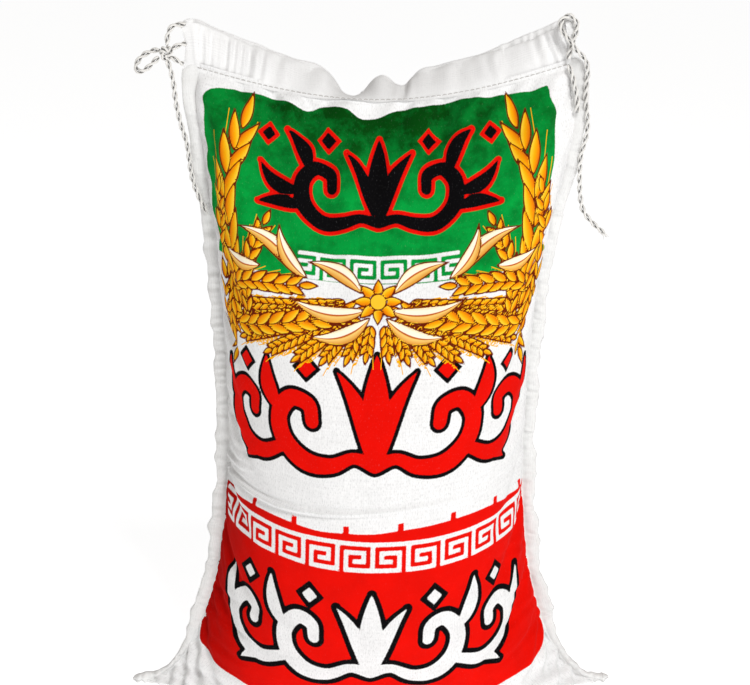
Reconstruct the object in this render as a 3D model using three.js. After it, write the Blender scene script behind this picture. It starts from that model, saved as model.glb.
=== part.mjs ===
// A ten kilogram cotton rice sack, filled, drawn shut and standing on its own base.
// Millimetres, +Z up, the printed front towards -Y, +X to the right as seen from the front.
// Two flat panels are sewn together at the sides and along the bottom. The rice swells them,
// so the sack's form is found by letting the sewn cloth settle round its filling.

import * as THREE from 'three';

// The sack laid flat
const FLAT_WIDTH = 330; // between the two side seams
const FLAT_HEIGHT = 570; // from the bottom seam to the top edge of the hem
const HEM_HEIGHT = 34; // the casing that the drawstring runs in
const FLANGE_WIDTH = 10; // seam allowance outside the stitches
const CLOTH_GAP = 2.4; // two layers of cotton, pressed together

// The filling
const FILL_HEIGHT = 435; // where the rice ends
const SIDE_PRESSURE = 0.2; // push of the rice at the base, in the settling's own units
const DOWN_FACTOR = 8; // rice presses down harder than sideways
const CLOTH_WEIGHT = 0.02;

// Where the side seams run once the sack stands, as [distance from the middle, height]
const LEFT_SEAM = [
  [185, 0], [169, 8], [151, 26], [134, 60], [119, 125],
  [112, 225], [118, 350], [129, 440], [133, 480], [136, 532],
];
const RIGHT_SEAM = [
  [185, 0], [169, 8], [152, 26], [136, 60], [123, 125],
  [120, 225], [131, 350], [152, 440], [155, 480], [146, 534],
];

// The hem once it is drawn: it sags between the corners and folds back at two places
const HEM_SAG = 26;
const HEM_LEAN = 58; // degrees from upright, in the middle
const HEM_FOLDS = [
  { x: -15, width: 14, lean: 42 },
  { x: 23, width: 10, lean: 22 },
];
const HEM_HALF_DEPTH = 4;
const NECK_HEIGHT = 96; // cloth below the hem that the string draws flat
const NECK_HALF_DEPTH = 6;

// How finely the panels are divided, and how long they settle
const COLUMNS = 28;
const ROWS = 46;
const STEPS = 320;
const ROUNDS = 5;
const DAMPING = 0.9;

// Corner tips turned right side out stand thicker than the flange
const TIP_THICKNESS = 8;
const TIP_REACH = 9;

// The drawstring
const CORD = 3.8;
const CORD_SIDES = 8;
const KNOT = { centre: [-155.5, -4.5, 509.5], radii: [4.2, 4, 4.8] };

// Routes of the drawstring's free stretches, from where each one leaves the hem or the knot
const LEFT_UPPER_STRAND = [
  [-147, -1.5, 530.6], [-149.6, -2, 530], [-152, -2.8, 527.6], [-153.8, -3.5, 523.8],
  [-154.4, -4, 519.5], [-154.8, -4.3, 515.2],
];
const LEFT_MIDDLE_STRAND = [
  [-150.9, -4.2, 512.3], [-148.4, -3.4, 514], [-146.2, -2.4, 515.2],
];
const LEFT_LOWER_STRAND = [
  [-151.6, -5, 506.6], [-148.6, -5, 504.6], [-145, -4.4, 502.4], [-142.4, -4, 501.2],
];
const LEFT_BOW_LOOP = [
  [-160.6, -2.8, 512], [-163.6, -1.8, 511.6], [-167.2, -0.8, 510.6], [-171.4, -0.4, 508.6],
  [-175.4, -1.2, 505.6], [-177.8, -3.4, 502], [-178.2, -6.4, 498.8], [-176.6, -9.2, 496.6],
  [-173.4, -10.8, 496.2], [-169.8, -10.8, 498.2], [-166.4, -9.8, 501.2], [-163.2, -8.6, 504.4],
  [-160.8, -7.6, 506.6],
];
const LEFT_TAIL = [
  [-155, -5.4, 504.2], [-153.2, -5.4, 499.6], [-151.6, -5.2, 494], [-150.4, -5, 487],
  [-149.6, -5, 479.6], [-148.6, -5, 472], [-147.4, -5, 464.4], [-145.4, -5, 456],
  [-142.8, -5, 447.4], [-140.6, -5.2, 438.4], [-139.4, -5.2, 429.4], [-138.4, -5.4, 420.4],
  [-136.6, -5.6, 411.6], [-134, -5.8, 403.4], [-130.4, -6, 395.4], [-127.2, -6.4, 389],
];
const RIGHT_DRAWSTRING = [
  [149.2, -5.8, 505], [151.2, -5.6, 512.1], [153.8, -5, 520.4], [155.8, -4.4, 527],
  [155.4, -4, 532.6], [151.8, -4, 536.8], [146.6, -4.2, 536.6], [143.2, -5, 532],
  [144.4, -6.8, 526.8], [148.2, -8.8, 521.6], [152, -9.6, 516.8], [155.2, -9, 512],
  [159, -7.2, 508.6], [163, -5.6, 503.6], [164.8, -4.8, 495.4], [164, -4.4, 485.8],
  [163.6, -4.4, 475.6], [164.8, -4.4, 464.8], [165.6, -4.2, 454.8], [164.2, -4, 444],
  [161.4, -4, 433.4], [160.2, -4, 422.6], [160.4, -4, 411.4], [161, -3.6, 400],
  [163.4, -3, 389.2], [168.6, -2.4, 381.4], [174.6, -2, 375.6], [180, -2, 370.6],
];
const RIGHT_SHORT_TAIL = [
  [149.6, -6, 500.6], [151.6, -6, 496.2], [153.4, -6, 491.6], [154.4, -5.8, 486.4],
  [155.8, -5.4, 480.8], [157, -5.2, 475], [157.4, -5, 469.4], [157.2, -5, 464.4],
];

const COTTON = new THREE.Color(0xece9e4);
const CORD_COTTON = new THREE.Color(0xf0eeea);

// One side seam as an evenly stepped line, with a value for each row of the panels
function seamLine(points, side) {
  const places = points.map(([x, z]) => new THREE.Vector3(side * x, 0, z));
  return new THREE.CatmullRomCurve3(places, false, 'catmullrom', 0.5).getSpacedPoints(ROWS);
}

// Half the angle of an arc whose length is ratio times its chord
function arcAngle(ratio) {
  let low = 0.0001;
  let high = 3;
  for (let k = 0; k < 50; k++) {
    const middle = (low + high) / 2;
    if (middle / Math.sin(middle) > ratio) high = middle;
    else low = middle;
  }
  return (low + high) / 2;
}

const ramp = (value, from, to) => THREE.MathUtils.clamp((value - from) / (to - from), 0, 1);

// Two panels of cloth, sewn at the sides and the bottom. Side 0 is the front, side 1 the back.
class SewnPanels {
  constructor() {
    this.cell = { x: FLAT_WIDTH / COLUMNS, z: FLAT_HEIGHT / ROWS };
    this.left = seamLine(LEFT_SEAM, -1);
    this.right = seamLine(RIGHT_SEAM, 1);
    this.hemRow = Math.round((FLAT_HEIGHT - HEM_HEIGHT) / this.cell.z);
    this.count = 2 * (ROWS + 1) * (COLUMNS + 1);
    this.place = new Float64Array(this.count * 3);
    this.speed = new Float64Array(this.count * 3);
    this.layOut();
  }

  at(side, row, column) {
    return ((side * (ROWS + 1) + row) * (COLUMNS + 1) + column) * 3;
  }

  // Start each row as an arc of its flat width between the seams
  layOut() {
    for (let row = 0; row <= ROWS; row++) {
      const half = (this.right[row].x - this.left[row].x) / 2;
      const middle = (this.right[row].x + this.left[row].x) / 2;
      const seamHeight = (this.right[row].z + this.left[row].z) / 2;
      const height = (row / ROWS) * FLAT_HEIGHT;
      const angle = arcAngle(Math.max(FLAT_WIDTH / 2 / half, 1.0005));
      const shut = 1 - 0.95 * ramp(height, 400, FLAT_HEIGHT);
      const bulge = Math.min(half * Math.tan(angle / 2), height + 2) * shut;
      const bellyHeight = height < 120 ? height * 0.25 : 30 + (height - 120) * 0.98;
      for (let column = 0; column <= COLUMNS; column++) {
        const across = (2 * column) / COLUMNS - 1;
        const lift = (Math.cos(across * angle) - Math.cos(angle)) / (1 - Math.cos(angle));
        for (const side of [0, 1]) {
          const k = this.at(side, row, column);
          this.place[k] = middle + (half * Math.sin(across * angle)) / Math.sin(angle);
          this.place[k + 1] = (side === 0 ? -1 : 1) * bulge * lift;
          this.place[k + 2] = seamHeight * (1 - lift) + bellyHeight * lift;
        }
      }
    }
  }

  // Bring two points of the cloth back towards their flat distance
  tie(a, b, length, pull, push) {
    const p = this.place;
    const dx = p[b] - p[a];
    const dy = p[b + 1] - p[a + 1];
    const dz = p[b + 2] - p[a + 2];
    const now = Math.sqrt(dx * dx + dy * dy + dz * dz) + 1e-9;
    const share = (0.5 * (now > length ? pull : push) * (now - length)) / now;
    p[a] += dx * share;
    p[a + 1] += dy * share;
    p[a + 2] += dz * share;
    p[b] -= dx * share;
    p[b + 1] -= dy * share;
    p[b + 2] -= dz * share;
  }

  // Ties between all neighbours that lie the given number of rows and columns apart,
  // every second one first, so that the cloth isn't drawn to one side
  tieAll(rows, columns, pull, push) {
    const length = Math.hypot(rows * this.cell.z, columns * this.cell.x);
    const lowest = Math.max(0, -columns);
    const highest = COLUMNS - Math.max(0, columns);
    for (const phase of [0, 1]) {
      for (let row = 0; row <= ROWS - rows; row++) {
        for (let column = lowest; column <= highest; column++) {
          const turn = Math.floor(rows > 0 ? row / rows : column / columns);
          if (turn % 2 !== phase) continue;
          for (const side of [0, 1]) {
            const a = this.at(side, row, column);
            const b = this.at(side, row + rows, column + columns);
            this.tie(a, b, length, pull, push);
          }
        }
      }
    }
  }

  // The seams: both panels share one edge, and the side seams keep to their line
  sew() {
    const p = this.place;
    const join = (row, column) => {
      const a = this.at(0, row, column);
      const b = this.at(1, row, column);
      for (let k = 0; k < 3; k++) {
        const shared = (p[a + k] + p[b + k]) / 2;
        p[a + k] = shared;
        p[b + k] = shared;
      }
    };
    for (let column = 0; column <= COLUMNS; column++) join(0, column);
    for (let row = 0; row <= ROWS; row++) {
      for (const [column, line] of [[0, this.left], [COLUMNS, this.right]]) {
        join(row, column);
        for (const side of [0, 1]) {
          const k = this.at(side, row, column);
          p[k] += 0.7 * (line[row].x - p[k]);
          p[k + 1] *= 0.6;
          p[k + 2] += 0.7 * (line[row].z - p[k + 2]);
        }
      }
    }
  }

  // The rice's push on the cloth, at right angles to it and stronger lower down
  push() {
    const p = this.place;
    const area = this.cell.x * this.cell.z;
    const force = new Float64Array(p.length);
    for (const side of [0, 1]) {
      for (let row = 0; row <= ROWS; row++) {
        for (let column = 0; column <= COLUMNS; column++) {
          const k = this.at(side, row, column);
          const west = this.at(side, row, Math.max(column - 1, 0));
          const east = this.at(side, row, Math.min(column + 1, COLUMNS));
          const south = this.at(side, Math.max(row - 1, 0), column);
          const north = this.at(side, Math.min(row + 1, ROWS), column);
          const ux = p[east] - p[west];
          const uy = p[east + 1] - p[west + 1];
          const uz = p[east + 2] - p[west + 2];
          const vx = p[north] - p[south];
          const vy = p[north + 1] - p[south + 1];
          const vz = p[north + 2] - p[south + 2];
          const strength = Math.max((FILL_HEIGHT - p[k + 2]) / FILL_HEIGHT, 0) * SIDE_PRESSURE;
          const scale = ((side === 0 ? 1 : -1) * strength) / (4 * area);
          force[k] = (uy * vz - uz * vy) * scale;
          force[k + 1] = (uz * vx - ux * vz) * scale;
          const upward = (ux * vy - uy * vx) * scale;
          force[k + 2] = (upward < 0 ? upward * DOWN_FACTOR : upward) - CLOTH_WEIGHT;
        }
      }
    }
    return force;
  }

  // The floor stops the cloth, and the two panels can't pass through each other
  stop(before) {
    const p = this.place;
    for (let k = 0; k < p.length; k += 3) {
      if (p[k + 2] >= 0) continue;
      p[k + 2] = 0;
      p[k] = (p[k] + before[k]) / 2;
      p[k + 1] = (p[k + 1] + before[k + 1]) / 2;
    }
    for (let row = 1; row <= ROWS; row++) {
      for (let column = 1; column < COLUMNS; column++) {
        const front = this.at(0, row, column);
        const back = this.at(1, row, column);
        const apart = Math.max(CLOTH_GAP - (p[back + 1] - p[front + 1]), 0) / 2;
        p[front + 1] -= apart;
        p[back + 1] += apart;
      }
    }
  }

  // The drawn hem: its stitches sag between the corners, and the casing folds back above them
  drawHem() {
    const p = this.place;
    const low = this.left[this.hemRow];
    const high = this.right[this.hemRow];
    for (const side of [0, 1]) {
      const out = side === 0 ? -1 : 1;
      for (let column = 1; column < COLUMNS; column++) {
        const share = column / COLUMNS;
        const swell = Math.sin(Math.PI * share);
        const x = low.x + (high.x - low.x) * share;
        const z = low.z + (high.z - low.z) * share - HEM_SAG * swell;
        let lean = HEM_LEAN;
        for (const fold of HEM_FOLDS) {
          lean += fold.lean * Math.exp(-(((x - fold.x) / fold.width) ** 2));
        }
        lean = THREE.MathUtils.degToRad(lean) * Math.sqrt(swell);
        const k = this.at(side, this.hemRow, column);
        p[k] += 0.5 * (x - p[k]);
        p[k + 1] += 0.3 * (out * 5 * swell - p[k + 1]);
        p[k + 2] += 0.5 * (z - p[k + 2]);
        for (let row = this.hemRow + 1; row <= ROWS; row++) {
          const rise = (row / ROWS) * FLAT_HEIGHT - (FLAT_HEIGHT - HEM_HEIGHT);
          const top = this.at(side, row, column);
          p[top] += 0.5 * (x - p[top]);
          p[top + 1] += 0.5 * (rise * Math.sin(lean) + out * HEM_HALF_DEPTH - p[top + 1]);
          p[top + 2] += 0.5 * (z + rise * Math.cos(lean) - p[top + 2]);
        }
      }
    }
  }

  // Below the hem the string draws the two panels together
  drawNeck() {
    const p = this.place;
    for (let row = 0; row <= ROWS; row++) {
      const height = (row / ROWS) * FLAT_HEIGHT;
      const drawn = ramp(height, FLAT_HEIGHT - HEM_HEIGHT - NECK_HEIGHT, FLAT_HEIGHT - HEM_HEIGHT);
      const limit = 200 + (NECK_HALF_DEPTH - 200) * drawn;
      for (let column = 1; column < COLUMNS; column++) {
        const front = this.at(0, row, column) + 1;
        const back = this.at(1, row, column) + 1;
        p[front] += 0.3 * Math.max(-p[front] - limit, 0);
        p[back] -= 0.3 * Math.max(p[back] - limit, 0);
      }
    }
  }

  settle() {
    const p = this.place;
    for (let step = 0; step < STEPS; step++) {
      const force = this.push();
      const before = p.slice();
      for (let k = 0; k < p.length; k++) {
        this.speed[k] = (this.speed[k] + force[k]) * DAMPING;
        p[k] += this.speed[k];
      }
      for (let round = 0; round < ROUNDS; round++) {
        this.tieAll(0, 1, 1, 0.25);
        this.tieAll(1, 0, 1, 0.25);
        this.sew();
        this.tieAll(1, 1, 0.15, 0.075);
        this.tieAll(1, -1, 0.15, 0.075);
        this.tieAll(0, 2, 0, 0.08);
        this.tieAll(2, 0, 0, 0.08);
        this.sew();
        this.stop(before);
        this.drawHem();
        this.drawNeck();
      }
      for (let k = 0; k < p.length; k++) this.speed[k] = p[k] - before[k];
    }
  }
}

// The filled sack as one closed solid, with the seam flange standing out at both sides
function sackGeometry() {
  const cloth = new SewnPanels();
  cloth.settle();
  const p = cloth.place;
  const corners = [];
  const rings = [];
  const add = (x, y, z) => {
    corners.push(x, y, z < 1 ? 0 : z);
    return corners.length / 3 - 1;
  };
  const flange = (row, side, outward, line) => {
    const nearTip = Math.exp(-((line[row].z / TIP_REACH) ** 2));
    const half = (CLOTH_GAP + (TIP_THICKNESS - CLOTH_GAP) * nearTip) / 2;
    return add(line[row].x + outward * FLANGE_WIDTH, (side === 0 ? -1 : 1) * half, line[row].z);
  };
  for (let row = 0; row <= ROWS; row++) {
    const front = [];
    const back = [];
    for (let column = 0; column <= COLUMNS; column++) {
      const a = cloth.at(0, row, column);
      const b = cloth.at(1, row, column);
      const middle = (p[a + 1] + p[b + 1]) / 2;
      const half = Math.max((p[b + 1] - p[a + 1]) / 2, CLOTH_GAP / 2);
      front.push(add(p[a], middle - half, p[a + 2]));
      back.push(add(p[b], middle + half, p[b + 2]));
    }
    front.unshift(flange(row, 0, -1, cloth.left));
    front.push(flange(row, 0, 1, cloth.right));
    back.unshift(flange(row, 1, -1, cloth.left));
    back.push(flange(row, 1, 1, cloth.right));
    rings.push({ front, back });
  }

  const faces = [];
  const quad = (a, b, c, d) => faces.push(a, b, c, a, c, d);
  const last = COLUMNS + 2;
  for (let row = 0; row < ROWS; row++) {
    const low = rings[row];
    const high = rings[row + 1];
    for (let k = 0; k < last; k++) {
      quad(low.front[k], low.front[k + 1], high.front[k + 1], high.front[k]);
      quad(low.back[k + 1], low.back[k], high.back[k], high.back[k + 1]);
    }
    quad(low.front[last], low.back[last], high.back[last], high.front[last]);
    quad(low.back[0], low.front[0], high.front[0], high.back[0]);
  }
  const bottom = rings[0];
  const top = rings[ROWS];
  for (let k = 0; k < last; k++) {
    quad(bottom.back[k], bottom.back[k + 1], bottom.front[k + 1], bottom.front[k]);
    quad(top.front[k], top.front[k + 1], top.back[k + 1], top.back[k]);
  }

  const geometry = new THREE.BufferGeometry();
  geometry.setAttribute('position', new THREE.Float32BufferAttribute(corners, 3));
  geometry.setIndex(faces);
  geometry.computeBoundingBox();
  const middle = geometry.boundingBox.getCenter(new THREE.Vector3());
  geometry.translate(-middle.x, -middle.y, 0);
  geometry.computeVertexNormals();
  return geometry;
}

// A free stretch of the drawstring, as a plain tube along its route
function cordGeometry(route) {
  const path = new THREE.CatmullRomCurve3(route.map((place) => new THREE.Vector3(...place)));
  const section = new THREE.Shape();
  for (let k = 0; k < CORD_SIDES; k++) {
    const angle = (2 * Math.PI * k) / CORD_SIDES;
    const point = [(CORD / 2) * Math.cos(angle), (CORD / 2) * Math.sin(angle)];
    if (k === 0) section.moveTo(...point);
    else section.lineTo(...point);
  }
  section.closePath();
  const steps = Math.max(3, Math.round(path.getLength() / (1.3 * CORD)));
  return new THREE.ExtrudeGeometry(section, { steps, extrudePath: path });
}

function knotGeometry() {
  const geometry = new THREE.SphereGeometry(1, 16, 10);
  geometry.scale(...KNOT.radii);
  geometry.translate(...KNOT.centre);
  return geometry;
}

function piece(name, geometry, colour) {
  const material = new THREE.MeshStandardMaterial({ color: colour, roughness: 0.9, metalness: 0 });
  const mesh = new THREE.Mesh(geometry, material);
  mesh.name = name;
  return mesh;
}

const riceSack = new THREE.Group();
riceSack.add(
  piece('sack', sackGeometry(), COTTON),
  piece('left_knot', knotGeometry(), CORD_COTTON),
  piece('left_upper_strand', cordGeometry(LEFT_UPPER_STRAND), CORD_COTTON),
  piece('left_middle_strand', cordGeometry(LEFT_MIDDLE_STRAND), CORD_COTTON),
  piece('left_lower_strand', cordGeometry(LEFT_LOWER_STRAND), CORD_COTTON),
  piece('left_bow_loop', cordGeometry(LEFT_BOW_LOOP), CORD_COTTON),
  piece('left_tail', cordGeometry(LEFT_TAIL), CORD_COTTON),
  piece('right_drawstring', cordGeometry(RIGHT_DRAWSTRING), CORD_COTTON),
  piece('right_short_tail', cordGeometry(RIGHT_SHORT_TAIL), CORD_COTTON),
);

export default riceSack;
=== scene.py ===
# A ten kilogram cotton rice sack, filled, drawn shut and standing on its own base.
# The cloth is worked out in millimetres, as it was cut, and turned to metres once it is placed.

import math

import bpy
import numpy as np
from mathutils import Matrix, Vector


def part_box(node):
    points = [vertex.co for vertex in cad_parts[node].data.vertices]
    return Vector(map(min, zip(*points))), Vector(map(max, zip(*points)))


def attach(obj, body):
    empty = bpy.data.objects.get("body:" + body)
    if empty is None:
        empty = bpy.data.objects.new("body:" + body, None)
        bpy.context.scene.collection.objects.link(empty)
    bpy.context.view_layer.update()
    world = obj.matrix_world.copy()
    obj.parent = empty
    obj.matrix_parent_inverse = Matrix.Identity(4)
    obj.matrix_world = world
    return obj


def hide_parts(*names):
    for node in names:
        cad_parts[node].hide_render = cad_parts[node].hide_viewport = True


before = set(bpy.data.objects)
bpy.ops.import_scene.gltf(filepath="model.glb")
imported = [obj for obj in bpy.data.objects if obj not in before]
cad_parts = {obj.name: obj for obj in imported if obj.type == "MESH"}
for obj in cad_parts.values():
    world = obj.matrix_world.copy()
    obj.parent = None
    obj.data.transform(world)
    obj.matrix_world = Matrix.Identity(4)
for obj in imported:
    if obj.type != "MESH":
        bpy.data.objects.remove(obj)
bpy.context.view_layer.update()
MM = 0.001

# The picture's camera
PICTURE_WIDTH = 750
FOCAL_LENGTH = 2090  # in pixels of the picture
CAMERA_PLACE = (0.003, -1.6, 0.638)
CAMERA_DIP = 0.218  # radians below level
SENSOR = 36

# The sack laid flat
FLAT_WIDTH = 330  # between the two side seams
FLAT_HEIGHT = 570  # from the bottom seam to the top edge of the hem
HEM_HEIGHT = 34  # the casing that the drawstring runs in
STITCH_LINE = FLAT_HEIGHT - HEM_HEIGHT
FLANGE_WIDTH = 10  # seam allowance outside the stitches
CLOTH_GAP = 2.4  # two layers of cotton, pressed together

# The filling
FILL_HEIGHT = 435  # where the rice ends
SIDE_PRESSURE = 0.2  # push of the rice at the base, in the settling's own units
DOWN_FACTOR = 8  # rice presses down harder than sideways
CLOTH_WEIGHT = 0.02

# Where the side seams run once the sack stands, as [distance from the middle, height]
LEFT_SEAM = [
    [185, 0], [169, 8], [151, 26], [134, 60], [119, 125],
    [112, 225], [118, 350], [129, 440], [133, 480], [136, 532],
]
RIGHT_SEAM = [
    [185, 0], [169, 8], [152, 26], [136, 60], [123, 125],
    [120, 225], [131, 350], [152, 440], [155, 480], [146, 534],
]

# The hem once it is drawn: it sags between the corners and folds back at two places
HEM_SAG = 26
HEM_LEAN = 58  # degrees from upright, in the middle
HEM_FOLDS = [
    {"x": -15, "width": 14, "lean": 42},
    {"x": 23, "width": 10, "lean": 22},
]
HEM_HALF_DEPTH = 4
NECK_HEIGHT = 96  # cloth below the hem that the string draws flat
NECK_HALF_DEPTH = 6

# The settling: columns, rows and steps, each round finer than the one before
SETTLINGS = [(28, 46, 320), (56, 92, 100), (112, 184, 30)]
ROUNDS = 5
DAMPING = 0.9
# Ties of the cloth as (rows apart, columns apart, pull, push)
THREAD_TIES = [(0, 1, 1, 0.25), (1, 0, 1, 0.25)]
SLANT_TIES = [(1, 1, 0.15, 0.075), (1, -1, 0.15, 0.075)]
BEND_TIES = [(0, 2, 0, 0.08), (2, 0, 0, 0.08)]

# The finished panels' cells across and up
PANEL_COLUMNS = 240
PANEL_ROWS = 400
PANEL_TOP = 540  # the panel runs a little way up behind the casing

# The drawstring
KNOT_CENTRE = (-155.5, -4.5, 509.5)
KNOT_SIZE = (1.35, 1.9, 1.5)
LEFT_UPPER_STRAND = [
    [-147, -1.5, 530.6], [-149.6, -2, 530], [-152, -2.8, 527.6], [-153.8, -3.5, 523.8],
    [-154.4, -4, 519.5], [-154.8, -4.3, 515.2],
]
LEFT_MIDDLE_STRAND = [
    [-150.9, -4.2, 512.3], [-148.4, -3.4, 514], [-146.2, -2.4, 515.2],
]
LEFT_LOWER_STRAND = [
    [-151.6, -5, 506.6], [-148.6, -5, 504.6], [-145, -4.4, 502.4], [-142.4, -4, 501.2],
]
LEFT_BOW_LOOP = [
    [-160.6, -2.8, 512], [-163.6, -1.8, 511.6], [-167.2, -0.8, 510.6], [-171.4, -0.4, 508.6],
    [-175.4, -1.2, 505.6], [-177.8, -3.4, 502], [-178.2, -6.4, 498.8], [-176.6, -9.2, 496.6],
    [-173.4, -10.8, 496.2], [-169.8, -10.8, 498.2], [-166.4, -9.8, 501.2], [-163.2, -8.6, 504.4],
    [-160.8, -7.6, 506.6],
]
LEFT_TAIL = [
    [-155, -5.4, 504.2], [-153.2, -5.4, 499.6], [-151.6, -5.2, 494], [-150.4, -5, 487],
    [-149.6, -5, 479.6], [-148.6, -5, 472], [-147.4, -5, 464.4], [-145.4, -5, 456],
    [-142.8, -5, 447.4], [-140.6, -5.2, 438.4], [-139.4, -5.2, 429.4], [-138.4, -5.4, 420.4],
    [-136.6, -5.6, 411.6], [-134, -5.8, 403.4], [-130.4, -6, 395.4], [-127.2, -6.4, 389],
]
RIGHT_DRAWSTRING = [
    [149.2, -5.8, 505], [151.2, -5.6, 512.1], [153.8, -5, 520.4], [155.8, -4.4, 527],
    [155.4, -4, 532.6], [151.8, -4, 536.8], [146.6, -4.2, 536.6], [143.2, -5, 532],
    [144.4, -6.8, 526.8], [148.2, -8.8, 521.6], [152, -9.6, 516.8], [155.2, -9, 512],
    [159, -7.2, 508.6], [163, -5.6, 503.6], [164.8, -4.8, 495.4], [164, -4.4, 485.8],
    [163.6, -4.4, 475.6], [164.8, -4.4, 464.8], [165.6, -4.2, 454.8], [164.2, -4, 444],
    [161.4, -4, 433.4], [160.2, -4, 422.6], [160.4, -4, 411.4], [161, -3.6, 400],
    [163.4, -3, 389.2], [168.6, -2.4, 381.4], [174.6, -2, 375.6], [180, -2, 370.6],
]
RIGHT_SHORT_TAIL = [
    [149.6, -6, 500.6], [151.6, -6, 496.2], [153.4, -6, 491.6], [154.4, -5.8, 486.4],
    [155.8, -5.4, 480.8], [157, -5.2, 475], [157.4, -5, 469.4], [157.2, -5, 464.4],
]


# Lines and plain geometry

def walked_along(line):
    return np.r_[0, np.cumsum(np.linalg.norm(np.diff(line, axis=0), axis=1))]


def through(points, count=None, step=None):
    """Evenly stepped points on a smooth curve through the given ones."""
    points = np.asarray(points, float)
    padded = np.vstack([2 * points[:1] - points[1:2], points, 2 * points[-1:] - points[-2:-1]])
    w = np.linspace(0, 1, 16, endpoint=False)[:, None]
    spans = []
    for a, b, c, d in zip(padded, padded[1:], padded[2:], padded[3:]):
        curve = 2 * b + (c - a) * w + (2 * a - 5 * b + 4 * c - d) * w**2
        spans.append(0.5 * (curve + (3 * b - a - 3 * c + d) * w**3))
    line = np.vstack(spans + [points[-1:]])
    walked = walked_along(line)
    if count is None:
        count = max(2, round(walked[-1] / step) + 1)
    places = np.linspace(0, walked[-1], count)
    return np.stack([np.interp(places, walked, line[:, k]) for k in range(points.shape[1])], 1)


def unit(vectors):
    return vectors / (np.linalg.norm(vectors, axis=-1, keepdims=True) + 1e-12)


def ramp(value, low, high):
    return np.clip((value - low) / (high - low), 0, 1)


def smooth_ramp(value, low, high):
    share = ramp(value, low, high)
    return share * share * (3 - 2 * share)


def knot_weights(places, count):
    """Weights that read a row of evenly spaced knots smoothly at the given places."""
    low = np.clip(np.floor(places).astype(int), 0, count - 2)
    w = places - low
    shares = [
        -0.5 * w + w**2 - 0.5 * w**3,
        1 - 2.5 * w**2 + 1.5 * w**3,
        0.5 * w + 2 * w**2 - 1.5 * w**3,
        -0.5 * w**2 + 0.5 * w**3,
    ]
    weights = np.zeros((len(places), count))
    for offset, share in zip((-1, 0, 1, 2), shares):
        knot = np.clip(low + offset, 0, count - 1)
        np.add.at(weights, (np.arange(len(places)), knot), share)
    return weights


def irregular_wave(place, length, seed, spread=0.35):
    """A wave of about the given length that never quite repeats, from -1 to 1."""
    draw = np.random.default_rng(seed)
    total = np.zeros_like(place, dtype=float)
    for _ in range(4):
        own = length * (1 + spread * draw.uniform(-1, 1))
        total += np.sin(2 * math.pi * (place / own + draw.random()))
    return total / 2.6


def crumple(x, t, length, seed, waves=14):
    """Soft unevenness in two directions, from about -1 to 1."""
    draw = np.random.default_rng(seed)
    total = np.zeros(np.broadcast(x, t).shape)
    for _ in range(waves):
        angle = draw.uniform(0, math.pi)
        own = length * draw.uniform(0.7, 1.4)
        along = x * math.cos(angle) + t * math.sin(angle)
        total += np.sin(2 * math.pi * (along / own + draw.random()))
    return total / math.sqrt(2 * waves)


def grid_faces(rows, columns, closed=False, flip=False):
    """Quads between the points of a grid, closed into a tube across if asked."""
    row = np.arange(rows - 1)[:, None]
    column = np.arange(columns if closed else columns - 1)[None, :]
    after = (column + 1) % columns
    quads = [row * columns + column, row * columns + after,
             (row + 1) * columns + after, (row + 1) * columns + column]
    faces = np.stack([q.ravel() for q in np.broadcast_arrays(*quads)], 1)
    return faces[:, ::-1] if flip else faces


def frames_along(line):
    """Two directions across a line at each of its points, turning as little as they can."""
    forward = unit(np.gradient(line, axis=0))
    start = np.array([0, 1, 0]) if abs(forward[0][1]) < 0.8 else np.array([1, 0, 0])
    side = np.zeros_like(line)
    across = start - forward[0] * start.dot(forward[0])
    for k, ahead in enumerate(forward):
        across = across - ahead * across.dot(ahead)
        across = across / np.linalg.norm(across)
        side[k] = across
    return side, np.cross(forward, side)


def tube(line, radii, sides):
    """Corners and faces of a round tube with closed, slightly domed ends."""
    side, up = frames_along(line)
    angles = 2 * math.pi * np.arange(sides) / sides
    radii = np.broadcast_to(radii, len(line))[:, None, None]
    rings = line[:, None] + radii * (
        np.cos(angles)[None, :, None] * side[:, None] + np.sin(angles)[None, :, None] * up[:, None]
    )
    forward = unit(np.gradient(line, axis=0))
    tips = [line[0] - forward[0] * radii[0, 0] * 0.6, line[-1] + forward[-1] * radii[-1, 0] * 0.6]
    corners = np.vstack([rings.reshape(-1, 3), tips])
    faces = grid_faces(len(line), sides, closed=True, flip=True).tolist()
    start, end = len(corners) - 2, len(corners) - 1
    last = (len(line) - 1) * sides
    for k in range(sides):
        after = (k + 1) % sides
        faces.append([k, after, start])
        faces.append([last + after, last + k, end])
    return corners, faces


def join(parts):
    """Several (corners, faces) made into one."""
    corners, faces, count = [], [], 0
    for part_corners, part_faces in parts:
        corners.append(part_corners)
        faces.extend([[k + count for k in face] for face in part_faces])
        count += len(part_corners)
    return np.vstack(corners), faces


def add_piece(name, corners, faces, finish, stands_for=(), values=None):
    """A smooth mesh piece from corners in millimetres, with its named values at the corners."""
    mesh = bpy.data.meshes.new(name)
    mesh.from_pydata((np.asarray(corners) * MM).tolist(), [], np.asarray(faces, object).tolist())
    mesh.shade_smooth()
    for label, numbers in (values or {}).items():
        kind = "FLOAT_VECTOR" if np.ndim(numbers) == 2 else "FLOAT"
        field = "vector" if kind == "FLOAT_VECTOR" else "value"
        layer = mesh.attributes.new(label, kind, "POINT")
        layer.data.foreach_set(field, np.asarray(numbers, np.float32).ravel())
    mesh.materials.append(finish)
    piece = bpy.data.objects.new(name, mesh)
    bpy.context.scene.collection.objects.link(piece)
    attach(piece, "root")
    if stands_for:
        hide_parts(*stands_for)
    return piece


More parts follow.
